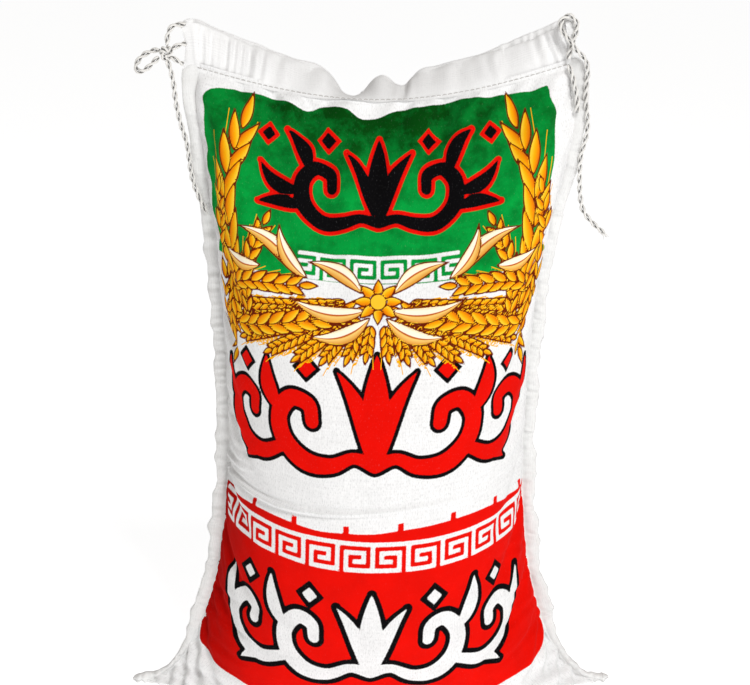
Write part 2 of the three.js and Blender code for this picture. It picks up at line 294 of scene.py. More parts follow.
def set_camera():
    data = bpy.data.cameras.new("camera")
    data.sensor_width = SENSOR
    data.sensor_fit = "HORIZONTAL"
    data.lens = SENSOR * FOCAL_LENGTH / PICTURE_WIDTH
    camera = bpy.data.objects.new("camera", data)
    camera.location = CAMERA_PLACE
    camera.rotation_euler = (math.pi / 2 - CAMERA_DIP, 0, 0)
    bpy.context.scene.collection.objects.link(camera)
    bpy.context.scene.camera = camera


set_camera()


# Finishes

def shade(red, green, blue):
    """A colour from its 0 to 255 display values."""
    def linear(value):
        share = value / 255
        return share / 12.92 if share <= 0.04045 else ((share + 0.055) / 1.055) ** 2.4
    return (linear(red), linear(green), linear(blue), 1)


BARE_COTTON = shade(233, 233, 233)
# The side seams' cotton: the bare cotton darkened a little as painted shade, to dim the seams that
# the lamp lights brightly
SEAM_COTTON_WITH_PAINTED_SHADE = shade(224, 224, 223)
GREEN_INK = shade(2, 158, 62)
GREEN_SHADE = shade(1, 68, 10)
RED_INK = shade(230, 12, 2)
# Red in painted shade, for the side of the sack turned away from the lamp
RED_UNDER_PAINTED_SHADE = shade(150, 2, 0)
BLACK_INK = shade(8, 7, 9)
GRAIN_DARK = shade(106, 30, 4)
GRAIN_BROWN = shade(190, 80, 4)
GRAIN_ORANGE = shade(236, 132, 6)
GRAIN_GOLD = shade(246, 174, 10)
GRAIN_LIGHT = shade(252, 220, 66)
CREAM_DEEP = shade(222, 138, 30)
CREAM_MIDDLE = shade(246, 206, 116)
CREAM_LIGHT = shade(254, 246, 222)
CORD_COTTON = shade(238, 236, 232)
THREAD_COTTON = shade(198, 196, 193)
FLOOR_WHITE = shade(236, 236, 236)
FLOOR_GLOW = (0.97, 0.985, 1, 1)
THREAD_SPACING = 0.74  # from one thread of the cloth to the next

# Where the inks change and where painted shade darkens the red, across from the middle of the panel
# and up from its bottom seam
TOP_MOTIF_FROM = 400
LOW_MOTIF_TO = 180
HEAVY_GREEN = (455, 520)
HEAVY_MIDDLE = (30, 120)
RED_PAINTED_SHADE_SPAN = (-160, -70)
MOTIF_BORDER = 2.9
LOW_MOTIF_BORDER = 1.2  # how much wider the lowest motif's border is
# Colours of the grains by their tone, from the shaded to the lit side, then of the cream leaves
GRAIN_TONES = [
    (0.13, GRAIN_ORANGE), (0.27, GRAIN_GOLD), (0.48, GRAIN_LIGHT), (0.52, CREAM_DEEP),
    (0.7, CREAM_MIDDLE), (0.738, GRAIN_BROWN), (0.758, GRAIN_BROWN), (0.78, CREAM_LIGHT),
    (0.9, CREAM_LIGHT),
]


class Nodes:
    """A node tree, with short ways to make the kinds of node used here."""

    def __init__(self, tree):
        self.tree = tree

    def feed(self, socket, value):
        if isinstance(value, bpy.types.NodeSocket):
            self.tree.links.new(value, socket)
        else:
            socket.default_value = value

    def make(self, kind, inputs=None, **settings):
        made = self.tree.nodes.new("ShaderNode" + kind)
        for name, value in settings.items():
            setattr(made, name, value)
        for socket, value in (inputs or {}).items():
            self.feed(made.inputs[socket], value)
        return made

    def calc(self, operation, first, second=0.0, third=0.0):
        return self.make("Math", {0: first, 1: second, 2: third}, operation=operation).outputs[0]

    def plus(self, first, second):
        return self.calc("ADD", first, second)

    def times(self, first, second):
        return self.calc("MULTIPLY", first, second)

    def scaled(self, value, share, added):
        return self.calc("MULTIPLY_ADD", value, share, added)

    def change(self, value, low, high, start, end):
        """The value taken from one span to another and held at both ends."""
        inputs = {"Value": value, "From Min": low, "From Max": high, "To Min": start, "To Max": end}
        return self.make("MapRange", inputs).outputs[0]

    def blend(self, share, first, second, mode="MIX"):
        made = self.make("Mix", data_type="RGBA", blend_type=mode)
        for name, value in (("Factor", share), ("A", first), ("B", second)):
            self.feed(next(s for s in made.inputs if s.name == name and s.enabled), value)
        return next(s for s in made.outputs if s.enabled)

    def grey(self, value):
        return self.make("CombineColor", {0: value, 1: value, 2: value}).outputs[0]

    def toned(self, colour, value):
        """The colour, darker where the value is under 1."""
        return self.blend(1.0, colour, self.grey(value), "MULTIPLY")

    def noise(self, place, scale, detail=2.0, roughness=0.5):
        inputs = {"Vector": place, "Scale": scale, "Detail": detail, "Roughness": roughness}
        return self.make("TexNoise", inputs).outputs["Fac"]

    def streaks(self, place, scale, detail):
        """Noise with its own scale in each direction."""
        drawn_out = self.make("VectorMath", {0: place, 1: scale}, operation="MULTIPLY")
        return self.noise(drawn_out.outputs[0], 1, detail)

    def split(self, vector):
        return self.make("SeparateXYZ", {0: vector}).outputs

    def value(self, name, output="Fac"):
        return self.make("Attribute", attribute_name=name).outputs[output]


def make_weave():
    """Plain weave: a bump where two threads cross, pinholes between, some thicker threads."""
    group = bpy.data.node_groups.new("cotton weave", "ShaderNodeTree")
    for name, way, kind in (
        ("Place", "INPUT", "Vector"), ("Thread", "INPUT", "Float"), ("Height", "OUTPUT", "Float"),
        ("Pinhole Shade", "OUTPUT", "Float"), ("Slubs", "OUTPUT", "Float"),
    ):
        group.interface.new_socket(name, in_out=way, socket_type="NodeSocket" + kind)
    nodes = Nodes(group)
    given = group.nodes.new("NodeGroupInput").outputs
    result = group.nodes.new("NodeGroupOutput").inputs
    place = given["Place"]
    wander = nodes.times(nodes.noise(place, 0.35), 0.9)
    ridges = []
    for along in nodes.split(place)[:2]:
        turns = nodes.calc("DIVIDE", nodes.plus(along, wander), given["Thread"])
        ridges.append(nodes.calc("ABSOLUTE", nodes.calc("SINE", nodes.times(turns, math.pi))))
    crossing = nodes.calc("POWER", nodes.times(*ridges), 0.6)
    upright = nodes.streaks(place, (0.9, 0.07, 1), 3)
    level = nodes.streaks(place, (0.05, 0.8, 1), 3)
    slubs = nodes.plus(nodes.times(upright, 0.6), nodes.times(level, 0.4))
    nodes.feed(result["Height"], nodes.plus(nodes.times(crossing, 0.5), slubs))
    # Pinhole Shade: 1 in the pinholes between crossings, where the finishes paint shade
    nodes.feed(result["Pinhole Shade"], nodes.calc("SUBTRACT", 1.0, crossing))
    nodes.feed(result["Slubs"], slubs)
    return group


WEAVE = make_weave()


class Finish(Nodes):
    """A material whose shader takes a colour and a bump."""

    def __init__(self, name, roughness, sheen=0.0):
        self.material = bpy.data.materials.new(name)
        self.material.use_nodes = True
        super().__init__(self.material.node_tree)
        self.tree.nodes.clear()
        inputs = {"Roughness": roughness, "Specular IOR Level": 0.06, "Sheen Weight": sheen}
        self.shader = self.make("BsdfPrincipled", inputs)
        self.make("OutputMaterial", {"Surface": self.shader.outputs[0]})

    def paint(self, colour):
        self.feed(self.shader.inputs["Base Color"], colour)

    def bump(self, height, distance):
        inputs = {"Strength": 0.6, "Distance": distance * MM, "Height": height}
        self.feed(self.shader.inputs["Normal"], self.make("Bump", inputs).outputs[0])


class WovenFinish(Finish):
    """A finish with the threads of the cloth, which follow its flat places."""

    def __init__(self, name, roughness):
        super().__init__(name, roughness)
        self.place = self.value("flat_place", "Vector")
        woven = self.make("Group", node_tree=WEAVE)
        self.feed(woven.inputs["Thread"], THREAD_SPACING)
        self.feed(woven.inputs["Place"], self.place)
        self.weave = woven.outputs

    def cotton(self, colour, contrast):
        """Bare cotton, with painted shade in the pinholes and uneven from thread to thread."""
        cloudy = self.scaled(self.noise(self.place, 0.03, 3), 0.12, 0.95)
        threads = self.scaled(self.weave["Slubs"], 0.4 * contrast, 1.02 - 0.2 * contrast)
        open_places = self.streaks(self.place, (1.3, 0.4, 1), 2)
        open_places = self.change(open_places, 0.5, 0.72, -0.1, -0.55 * contrast)
        # Painted shade in the pinholes between the threads
        pinhole_shade = self.scaled(self.weave["Pinhole Shade"], open_places, 1.06)
        return self.toned(colour, self.times(self.times(cloudy, threads), pinhole_shade))


def make_plain_cotton(name, colour):
    finish = WovenFinish(name, 0.92)
    finish.paint(finish.cotton(colour, 0.4))
    finish.bump(finish.weave["Height"], 0.12)
    return finish.material


def make_printed_cotton():
    """The cloth with its inks: fields, key pattern, ornaments and golden grain."""
    finish = WovenFinish("printed cotton", 0.9)
    bare = finish.cotton(BARE_COTTON, 0.9)
    bleed = finish.scaled(finish.noise(finish.place, 0.9, 2), 0.9, -0.45)

    def inside(edge, limit=0.0):
        """1 where the edge distance is under the limit, with a thread's softness."""
        return finish.change(finish.plus(edge, bleed), limit - 0.3, limit + 0.3, 1.0, 0.0)

    def fine_line(offset, distance, half_width, reach):
        """1 along a line told by the signed offset from it and the distance to it."""
        away = finish.calc("ABSOLUTE", finish.value(offset))
        near = finish.calc("LESS_THAN", finish.value(distance), reach)
        return finish.times(finish.change(away, *half_width, 1.0, 0.0), near)

    # Ink thins where a thread stands proud or missed the screen; it is patchy, and painted shade
    # darkens it in the pinholes
    missed = finish.change(finish.streaks(finish.place, (1.1, 0.5, 1), 3), 0.62, 0.8, 0.0, 0.55)
    patchy = finish.scaled(finish.noise(finish.place, 0.045, 4), 0.5, 0.72)
    pinhole_shade = finish.scaled(finish.weave["Pinhole Shade"], -0.2, 1.06)
    patchy_ink_and_pinhole_shade = finish.grey(finish.times(patchy, pinhole_shade))

    def ink(under, share, colour, body=1.0, wear=0.12):
        toned = finish.blend(body, colour, patchy_ink_and_pinhole_shade, "MULTIPLY")
        worn = finish.blend(finish.times(missed, wear), toned, BARE_COTTON)
        return finish.blend(share, under, worn)

    aside, height = finish.split(finish.place)[:2]
    bare_lines = finish.calc("SUBTRACT", 1.0, inside(finish.value("key_edge")))
    green = finish.times(inside(finish.value("green_edge")), bare_lines)
    red = finish.times(inside(finish.value("red_edge")), bare_lines)
    heavy = finish.times(
        finish.change(height, *HEAVY_GREEN, 0.0, 0.85),
        finish.change(finish.calc("ABSOLUTE", aside), *HEAVY_MIDDLE, 1.0, 0.45))
    blotches = finish.change(finish.noise(finish.place, 0.055, 5, 0.65), 0.42, 0.62, 0.0, 0.42)
    deep_green = finish.blend(finish.plus(heavy, blotches), GREEN_INK, GREEN_SHADE)
    colour = ink(bare, green, deep_green)
    # Painted shade: the red ink darkens towards the left side, which faces away from the lamp
    painted_shade_on_left = finish.change(aside, *RED_PAINTED_SHADE_SPAN, 0.75, 0.0)
    colour = ink(colour, red, finish.blend(painted_shade_on_left, RED_INK, RED_UNDER_PAINTED_SHADE), 0.6, 0.05)

    is_top = finish.calc("GREATER_THAN", height, TOP_MOTIF_FROM)
    is_low = finish.calc("LESS_THAN", height, LOW_MOTIF_TO)
    motif = finish.value("motif_edge")
    border = finish.scaled(is_low, -LOW_MOTIF_BORDER, motif)
    outline = finish.blend(is_top, BLACK_INK, RED_INK)
    colour = ink(colour, inside(border, MOTIF_BORDER), outline, 0.5)
    filling = finish.blend(is_low, finish.blend(is_top, RED_INK, BLACK_INK), bare)
    colour = ink(colour, inside(motif), filling, 0.5)

    bristles = fine_line("bristle_offset", "bristle_distance", (0.22, 0.44), 1.2)
    colour = ink(colour, bristles, GRAIN_GOLD, 0.3)
    edge = finish.times(finish.value("grain_depth"), -1.0)
    colour = ink(colour, inside(edge, 0.6), GRAIN_DARK, 0.4)
    between = fine_line("grain_edge", "grain_edge_distance", (0.3, 0.5), 1.05)
    filled = finish.times(inside(edge, -0.4), finish.calc("SUBTRACT", 1.0, between))
    tones = finish.make("ValToRGB", {0: finish.times(finish.value("grain_tone"), 0.5)})
    stops = tones.color_ramp.elements
    stops[0].position, stops[0].color = 0.0, GRAIN_BROWN
    stops[1].position, stops[1].color = 1.0, CREAM_MIDDLE
    for position, paint in GRAIN_TONES:
        stops.new(position).color = paint
    colour = ink(colour, filled, tones.outputs[0], 0.3)

    # The inks stain the white cloth beside them less than a plain bounce of light would
    bounced = finish.make("LightPath").outputs["Is Diffuse Ray"]
    finish.paint(finish.blend(finish.times(bounced, 0.65), colour, BARE_COTTON))
    finish.bump(finish.weave["Height"], 0.16)
    return finish.material


def make_cord_cotton():
    """Soft yarn: fine fibres that wind round each strand, with painted shade where the strands
    meet.
    """
    finish = Finish("drawstring cotton", 0.95, 0.3)
    place = finish.value("yarn_place", "Vector")
    around, along, from_middle = finish.split(place)
    slant = finish.plus(around, finish.times(along, 0.8))
    wander = finish.times(finish.noise(place, 0.8), 1.6)
    fibres = finish.calc("SINE", finish.times(finish.plus(slant, wander), 7.0))
    # Painted shade: darker near the cord's middle line, where the two strands touch
    painted_crevice_shade = finish.change(from_middle, 0.6, 1.6, 0.14, 1.0)
    value = finish.times(finish.scaled(fibres, 0.06, 0.95), painted_crevice_shade)
    finish.paint(finish.toned(CORD_COTTON, value))
    finish.bump(fibres, 0.12)
    return finish.material


def make_noisy_finish(name, roughness, colour, scale, share, added):
    """One colour, uneven by a little noise."""
    finish = Finish(name, roughness)
    place = finish.make("TexCoord").outputs["Object"]
    finish.paint(finish.toned(colour, finish.scaled(finish.noise(place, scale), share, added)))
    return finish


plain_cotton = make_plain_cotton("plain cotton", BARE_COTTON)
seam_cotton = make_plain_cotton("side seam cotton darkened as painted shade", SEAM_COTTON_WITH_PAINTED_SHADE)
printed_cotton = make_printed_cotton()
cord_cotton = make_cord_cotton()
sewing_thread = make_noisy_finish("sewing thread", 0.7, THREAD_COTTON, 900, 0.2, 0.85).material


# The drawstring: two soft strands laid round each other

STRAND_RADIUS = 0.96
STRAND_OFFSET = 1.22
CORD_TURN = 16  # length of one full turn of the two strands
CORD_STEP = 0.7


def twisted_cord(route):
    """Corners, faces and yarn coordinates of a two-strand cord along a route."""
    line = through(route, step=CORD_STEP)
    walked = walked_along(line)
    side, up = frames_along(line)
    parts, yarn = [], []
    sides = 10
    ends = np.minimum(1, 0.55 + np.minimum(walked, walked[-1] - walked) / 1.5)
    for strand in (0, 1):
        turn = 2 * math.pi * walked / CORD_TURN + math.pi * strand
        loose = 1 + 0.08 * np.sin(walked * 0.7 + strand * 2)
        centre = line + STRAND_OFFSET * loose[:, None] * ends[:, None] * (
            np.cos(turn)[:, None] * side + np.sin(turn)[:, None] * up)
        strand_corners, strand_faces = tube(centre, STRAND_RADIUS * ends, sides)
        parts.append((strand_corners, strand_faces))
        from_middle = np.linalg.norm(strand_corners[:-2] - np.repeat(line, sides, axis=0), axis=1)
        around = np.tile(np.arange(sides) / sides * 2 * math.pi * STRAND_RADIUS, len(line))
        along = np.repeat(walked, sides)
        place = np.stack([around + strand * 7, along, from_middle], 1)
        yarn.append(np.vstack([place, place[:1], place[-1:]]))
    corners, faces = join(parts)
    return corners, faces, np.vstack(yarn)


def add_yarn(name, corners, faces, yarn, stands_for=()):
    values = {"yarn_place": yarn}
    return add_piece(name, corners, faces, cord_cotton, stands_for, values)


def add_cord(name, route):
    corners, faces, yarn = twisted_cord(route)
    cord = add_yarn(name + "_cord", corners, faces, yarn, [name])
    line = through(route, count=max(15, min(40, len(route) + 6))) * MM


def add_frayed_end(name, route, count=9, reach=5, seed=4):
    """Single yarns that spread from a cut end."""
    line = through(route, step=CORD_STEP)
    end = line[-1]
    ahead = unit(line[-1] - line[-4])
    draw = np.random.default_rng(seed)
    parts = []
    for _ in range(count):
        spread = draw.normal(0, 0.22, 3)
        droop = np.array([0, 0, -0.25])
        length = reach * draw.uniform(0.6, 1)
        root = end - ahead * 1.2 + draw.normal(0, 0.6, 3)
        points = [root, root + length * 0.5 * (ahead + spread),
                  root + length * (ahead + spread * 1.5 + droop * 0.6)]
        yarn = through(points, step=0.8)
        parts.append(tube(yarn, np.linspace(0.34, 0.12, len(yarn)), 5))
    corners, faces = join(parts)
    return add_yarn(name, corners, faces, corners)


def add_knot():
    """An overhand knot drawn tight, with the three short strands that run to the hem."""
    turn = np.linspace(0, 2 * math.pi, 90)
    loop = np.stack([
        np.sin(turn) + 2 * np.sin(2 * turn),
        -0.9 * np.sin(3 * turn),
        np.cos(turn) - 2 * np.cos(2 * turn),
    ], 1)
    loop = loop * np.array(KNOT_SIZE) + np.array(KNOT_CENTRE)
    parts, yarn = [], []
    # Two of the strands run on into the casing
    upper = [[-140.5, -0.6, 531]] + LEFT_UPPER_STRAND
    middle = LEFT_MIDDLE_STRAND + [[-140.5, -0.8, 516.6]]
    for route in (loop, upper, middle, LEFT_LOWER_STRAND):
        corners, faces, place = twisted_cord(route)
        parts.append((corners, faces))
        yarn.append(place)
    corners, faces = join(parts)
    knot_nodes = ["left_knot", "left_upper_strand", "left_middle_strand", "left_lower_strand"]
    add_yarn("drawstring_knot", corners, faces, np.vstack(yarn), knot_nodes)


right_frayed_end = add_frayed_end("right_frayed_end", RIGHT_DRAWSTRING)
left_frayed_end = add_frayed_end("left_frayed_end", LEFT_TAIL, 6, 4, 9)
add_cord("left_bow_loop", LEFT_BOW_LOOP)
add_cord("left_tail", LEFT_TAIL)
add_cord("right_drawstring", RIGHT_DRAWSTRING)
add_cord("right_short_tail", RIGHT_SHORT_TAIL)
add_knot()


# The cloth settling round its rice

def tie(first, second, length, pull, push):
    """Bring neighbours of the cloth back towards their flat distance."""
    apart = second - first
    now = np.sqrt((apart**2).sum(-1, keepdims=True)) + 1e-9
    share = apart * (0.5 * np.where(now > length, pull, push) * (now - length) / now)
    first += share
    second -= share


class SewnPanels:
    """Two panels sewn at the sides and the bottom. Side 0 is the front, side 1 the back."""

    def __init__(self, columns, rows, coarse=None):
        self.columns, self.rows = columns, rows
        self.cell = (FLAT_WIDTH / columns, FLAT_HEIGHT / rows)
        self.left = through([[-x, z] for x, z in LEFT_SEAM], rows + 1)
        self.right = through([[x, z] for x, z in RIGHT_SEAM], rows + 1)
        self.height = np.linspace(0, FLAT_HEIGHT, rows + 1)
        self.share = np.linspace(0, 1, columns + 1)
        self.hem_row = round(STITCH_LINE / self.cell[1])
        # Finer cloth gives way more in the same rounds, so it carries less at a time
        self.load = (SETTLINGS[0][0] / columns) ** 2
        if coarse is None:
            self.place = self.laid_out()
        else:
            across = np.linspace(0, FLAT_WIDTH, columns + 1)
            self.place = np.stack([coarse.read(side, across, self.height) for side in (0, 1)])
        self.speed = np.zeros_like(self.place)

    def read(self, side, across, up):
        """Points of one side at the given flat distances from the left and bottom seams."""
        by_row = knot_weights(np.asarray(up) / self.cell[1], self.rows + 1)
        by_column = knot_weights(np.asarray(across) / self.cell[0], self.columns + 1)
        return np.einsum("ri,ijk,cj->rck", by_row, self.place[side], by_column, optimize=True)

    def laid_out(self):
        """Each row as an arc of its flat width between the seams."""
        half = (self.right[:, 0] - self.left[:, 0]) / 2
        middle = (self.right[:, 0] + self.left[:, 0]) / 2
        seam_height = (self.right[:, 1] + self.left[:, 1]) / 2
        ratio = np.maximum(FLAT_WIDTH / 2 / half, 1.0005)
        low, high = np.full_like(ratio, 1e-4), np.full_like(ratio, 3.0)
        for _ in range(50):
            angle = (low + high) / 2
            over = angle / np.sin(angle) > ratio
            high, low = np.where(over, angle, high), np.where(over, low, angle)
        angle = angle[:, None]
        shut = 1 - 0.95 * ramp(self.height, 400, FLAT_HEIGHT)
        bulge = np.minimum(half * np.tan(angle[:, 0] / 2), self.height + 2) * shut
        belly = np.where(self.height < 120, self.height * 0.25, 30 + (self.height - 120) * 0.98)
        across = 2 * self.share - 1
        lift = (np.cos(across * angle) - np.cos(angle)) / (1 - np.cos(angle))
        x = middle[:, None] + half[:, None] * np.sin(across * angle) / np.sin(angle)
        z = seam_height[:, None] * (1 - lift) + belly[:, None] * lift
        return np.stack([np.stack([x, out * bulge[:, None] * lift, z], -1) for out in (-1, 1)])

    def tie_all(self, rows, columns, pull, push):
        """Ties between neighbours that lie this far apart, every second one first."""
        length = math.hypot(rows * self.cell[1], columns * self.cell[0])
        reach = rows or columns
        for turn in range(2 * reach):
            if rows:
                first = self.place[:, turn:-rows:2 * rows]
                second = self.place[:, turn + rows::2 * rows]
                if columns > 0:
                    first, second = first[:, :, :-columns], second[:, :, columns:]
                if columns < 0:
                    first, second = first[:, :, -columns:], second[:, :, :columns]
            else:
                first = self.place[:, :, turn:-columns:2 * columns]
                second = self.place[:, :, turn + columns::2 * columns]
            tie(first, second, length, pull, push)

    def sew(self):
        """Both panels share one edge, and the side seams keep to their line."""
        self.place[:, 0] = self.place[:, 0].mean(0)
        for column, line in ((0, self.left), (-1, self.right)):
            edge = self.place[:, :, column].mean(0)
            edge[:, 0] += 0.7 * (line[:, 0] - edge[:, 0])
            edge[:, 1] *= 0.6
            edge[:, 2] += 0.7 * (line[:, 1] - edge[:, 2])
            self.place[:, :, column] = edge

    def push(self):
        """The rice's push on the cloth, at right angles to it and stronger lower down."""
        padded = np.pad(self.place, ((0, 0), (1, 1), (1, 1), (0, 0)), mode="edge")
        across = padded[:, 1:-1, 2:] - padded[:, 1:-1, :-2]
        up = padded[:, 2:, 1:-1] - padded[:, :-2, 1:-1]
        force = np.cross(across, up) / (4 * self.cell[0] * self.cell[1])
        force[1] *= -1
        strength = np.maximum((FILL_HEIGHT - self.place[..., 2]) / FILL_HEIGHT, 0)
        force *= (strength * SIDE_PRESSURE)[..., None]
        upward = force[..., 2]
        force[..., 2] = np.where(upward < 0, upward * DOWN_FACTOR, upward) - CLOTH_WEIGHT
        return force * self.load

    def stop(self, before):
        """The floor stops the cloth, and the two panels can't pass through each other."""
        sunk = self.place[..., 2] < 0
        self.place[..., 2] = np.maximum(self.place[..., 2], 0)
        for axis in (0, 1):
            held = (self.place[..., axis] + before[..., axis]) / 2
            self.place[..., axis] = np.where(sunk, held, self.place[..., axis])
        gap = self.place[1, 1:, 1:-1, 1] - self.place[0, 1:, 1:-1, 1]
        apart = np.maximum(CLOTH_GAP - gap, 0) / 2
        self.place[0, 1:, 1:-1, 1] -= apart
        self.place[1, 1:, 1:-1, 1] += apart

    def draw_hem(self):
        """The stitches sag between the corners, and the casing folds back above them."""
        low, high = self.left[self.hem_row], self.right[self.hem_row]
        swell = np.sin(math.pi * self.share)
        x = low[0] + (high[0] - low[0]) * self.share
        z = low[1] + (high[1] - low[1]) * self.share - HEM_SAG * swell
        lean = np.full_like(x, HEM_LEAN)
        for fold in HEM_FOLDS:
            lean += fold["lean"] * np.exp(-(((x - fold["x"]) / fold["width"]) ** 2))
        lean = np.radians(lean) * np.sqrt(np.maximum(swell, 0))
        rise = (self.height[self.hem_row + 1:] - STITCH_LINE)[:, None]
        inner = slice(1, -1)
        for side, out in ((0, -1), (1, 1)):
            row = self.place[side, self.hem_row]
            row[inner, 0] += 0.5 * (x - row[:, 0])[inner]
            row[inner, 1] += 0.3 * (out * 5 * swell - row[:, 1])[inner]
            row[inner, 2] += 0.5 * (z - row[:, 2])[inner]
            top = self.place[side, self.hem_row + 1:]
            back = rise * np.sin(lean) + out * HEM_HALF_DEPTH
            top[:, inner, 0] += 0.5 * (x - top[..., 0])[:, inner]
            top[:, inner, 1] += 0.5 * (back - top[..., 1])[:, inner]
            top[:, inner, 2] += 0.5 * (z + rise * np.cos(lean) - top[..., 2])[:, inner]

    def draw_neck(self):
        """Below the hem the string draws the two panels together."""
        drawn = ramp(self.height, STITCH_LINE - NECK_HEIGHT, STITCH_LINE)[:, None]
        limit = 200 + (NECK_HALF_DEPTH - 200) * drawn
        front, back = self.place[0, :, 1:-1], self.place[1, :, 1:-1]
        front[..., 1] += 0.3 * np.maximum(-front[..., 1] - limit, 0)
        back[..., 1] -= 0.3 * np.maximum(back[..., 1] - limit, 0)

    def settle(self, steps):
        for _ in range(steps):
            before = self.place.copy()
            self.speed = (self.speed + self.push()) * DAMPING
            self.place += self.speed
            for _ in range(ROUNDS):
                for tie_kind in THREAD_TIES:
                    self.tie_all(*tie_kind)
                self.sew()
                for tie_kind in SLANT_TIES + BEND_TIES:
                    self.tie_all(*tie_kind)
                self.sew()
                self.stop(before)
                self.draw_hem()
                self.draw_neck()
            self.speed = self.place - before


def settled_cloth():
    cloth = None
    for columns, rows, steps in SETTLINGS:
        cloth = SewnPanels(columns, rows, cloth)
        cloth.settle(steps)
    depth = cloth.place[..., 1]
    low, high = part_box("sack")
    cloth.place[..., 1] += (low[1] + high[1]) / 2 / MM - (depth.min() + depth.max()) / 2
    return cloth


cloth = settled_cloth()


# Relief of the cloth, in millimetres out from the settled form

CALM_SEAM = (340, 440)  # over this stretch the sack's filling ends and its seams grow smooth


def seam_puckers(t, inward, seed):
    """Pillows between the tight places of a sewn seam, their creases running down and in."""
    slanted = t + inward * 0.8
    pillow = np.abs(irregular_wave(slanted, 21, seed)) ** 0.7 - 0.55
    strength = 0.7 + 0.3 * irregular_wave(slanted, 90, seed + 1)
    close = (1 - np.exp(-inward / 1.8)) * np.exp(-inward / 9)
    far = (1 - np.exp(-inward / 4)) * np.exp(-inward / 26) * irregular_wave(slanted, 24, seed + 2)
    calm = 1 - 0.65 * smooth_ramp(t, *CALM_SEAM)
    return (3.4 * pillow * strength * close + 1.1 * far) * calm


def neck_gathers(x, below, seed):
    """Soft upright folds under the hem's stitches."""
    wave = irregular_wave(x + below * 0.5, 50, seed)
    fade = (1 - np.exp(-below / 9)) * np.exp(-below / 44)
    return 4.2 * wave * fade


def add_crease(total, x, t, points, width, depth):
    """A soft valley with raised lips along a line of the cloth, a ridge if depth is under 0."""
    line = through(points, step=1)
    low, high = line.min(0) - 4 * width, line.max(0) + 4 * width
    part = (x > low[0]) & (x < high[0]) & (t > low[1]) & (t < high[1])
    away = np.hypot(x[part][:, None] - line[:, 0], t[part][:, None] - line[:, 1])
    share = away.argmin(1) / (len(line) - 1)
    away = away.min(1) / width
    fade = np.sin(math.pi * np.clip(0.25 + 0.74 * share, 0.02, 0.98)) ** 0.8
    total[part] += fade * depth * (0.5 * np.exp(-((away - 1.9) ** 2)) - np.exp(-(away**2)))


# Creases as points on the flat cloth from the middle and the bottom seam, with width and depth
CREASES = [
    ([(-163, 213), (-135, 218.5), (-96, 218), (-46, 221), (24, 227), (64, 229)], 1.8, -3.0),
    ([(-161, 225), (-136, 230), (-106, 235)], 1.8, -1.8),
    ([(-160, 240), (-138, 242), (-100, 246)], 2.4, 0.8),
    ([(-160, 262), (-136, 262), (-108, 258)], 2.6, 0.7),
    ([(162, 247), (138, 243), (92, 238)], 2.4, 1.0),
    ([(162, 228), (136, 226), (98, 233)], 2.2, 1.0),
    ([(162, 272), (140, 268), (110, 262)], 2.6, 0.8),
    ([(162, 300), (140, 290), (112, 286)], 2.8, 0.7),
    ([(162, 150), (118, 162), (88, 170)], 2.2, 0.7),
    ([(162, 122), (124, 123), (90, 128)], 2.4, 0.9),
    ([(161, 99), (126, 99), (94, 98)], 2.6, 0.9),
    ([(161, 80), (136, 78), (100, 74)], 2.6, 0.9),
    ([(-161, 95), (-132, 95), (-90, 98), (-60, 101)], 2.6, 0.9),
    ([(-161, 111), (-118, 121), (-86, 129)], 2.4, 0.9),
    ([(-160, 76), (-130, 74), (-100, 76)], 2.8, 1.0),
    ([(-163, 66), (-150, 46), (-134, 27), (-114, 11)], 3.6, 2.4),
    ([(-164, 46), (-154, 31), (-142, 17), (-128, 6)], 3.4, 2.4),
    ([(-160, 80), (-142, 58), (-120, 38), (-94, 20)], 4.0, 1.8),
    ([(-164, 26), (-156, 15), (-146, 6)], 3.0, 2.0),
    ([(163, 62), (149, 42), (131, 25), (110, 10)], 3.6, 2.3),
    ([(164, 42), (153, 28), (141, 15), (126, 5)], 3.4, 2.3),
    ([(160, 78), (140, 56), (116, 36), (90, 19)], 4.0, 1.7),
    ([(164, 23), (155, 13), (145, 5)], 3.0, 1.9),
    ([(-156, 511), (-146, 490), (-142, 462), (-146, 430)], 4.5, 1.6),
    ([(-160, 452), (-150, 430), (-143, 398)], 3.5, 1.0),
    ([(154, 520), (146, 498), (140, 470)], 4, 1.4),
    ([(160, 470), (152, 446), (146, 410)], 4, 1.1),
    ([(-40, 534), (-37, 520), (-24, 506)], 6, 1.4),
    ([(20, 534), (15, 516), (22, 498)], 5, 1.8),
    ([(98, 534), (88, 518), (72, 508)], 6, 1.4),
    ([(-98, 534), (-88, 516), (-70, 506)], 6, 1.4),
    ([(-126, 535), (-121, 526), (-112, 518)], 3.6, 1.3),
    ([(-98, 535), (-92, 525), (-82, 516)], 4.2, 1.5),
    ([(-70, 535), (-64, 527), (-54, 519)], 3.6, 1.3),
    ([(-50, 535), (-46, 524), (-38, 514)], 4.2, 1.4),
    ([(-26, 535), (-21, 526), (-12, 519)], 3.4, 1.1),
    ([(38, 535), (33, 526), (26, 518)], 3.8, 1.3),
    ([(57, 535), (52, 524), (42, 513)], 4.2, 1.5),
    ([(80, 535), (73, 526), (62, 519)], 3.6, 1.2),
    ([(114, 535), (107, 526), (97, 519)], 4.0, 1.4),
    ([(134, 535), (128, 525), (120, 518)], 3.4, 1.1),
]


FRONT_SEED = 3
BACK_SEED = 140


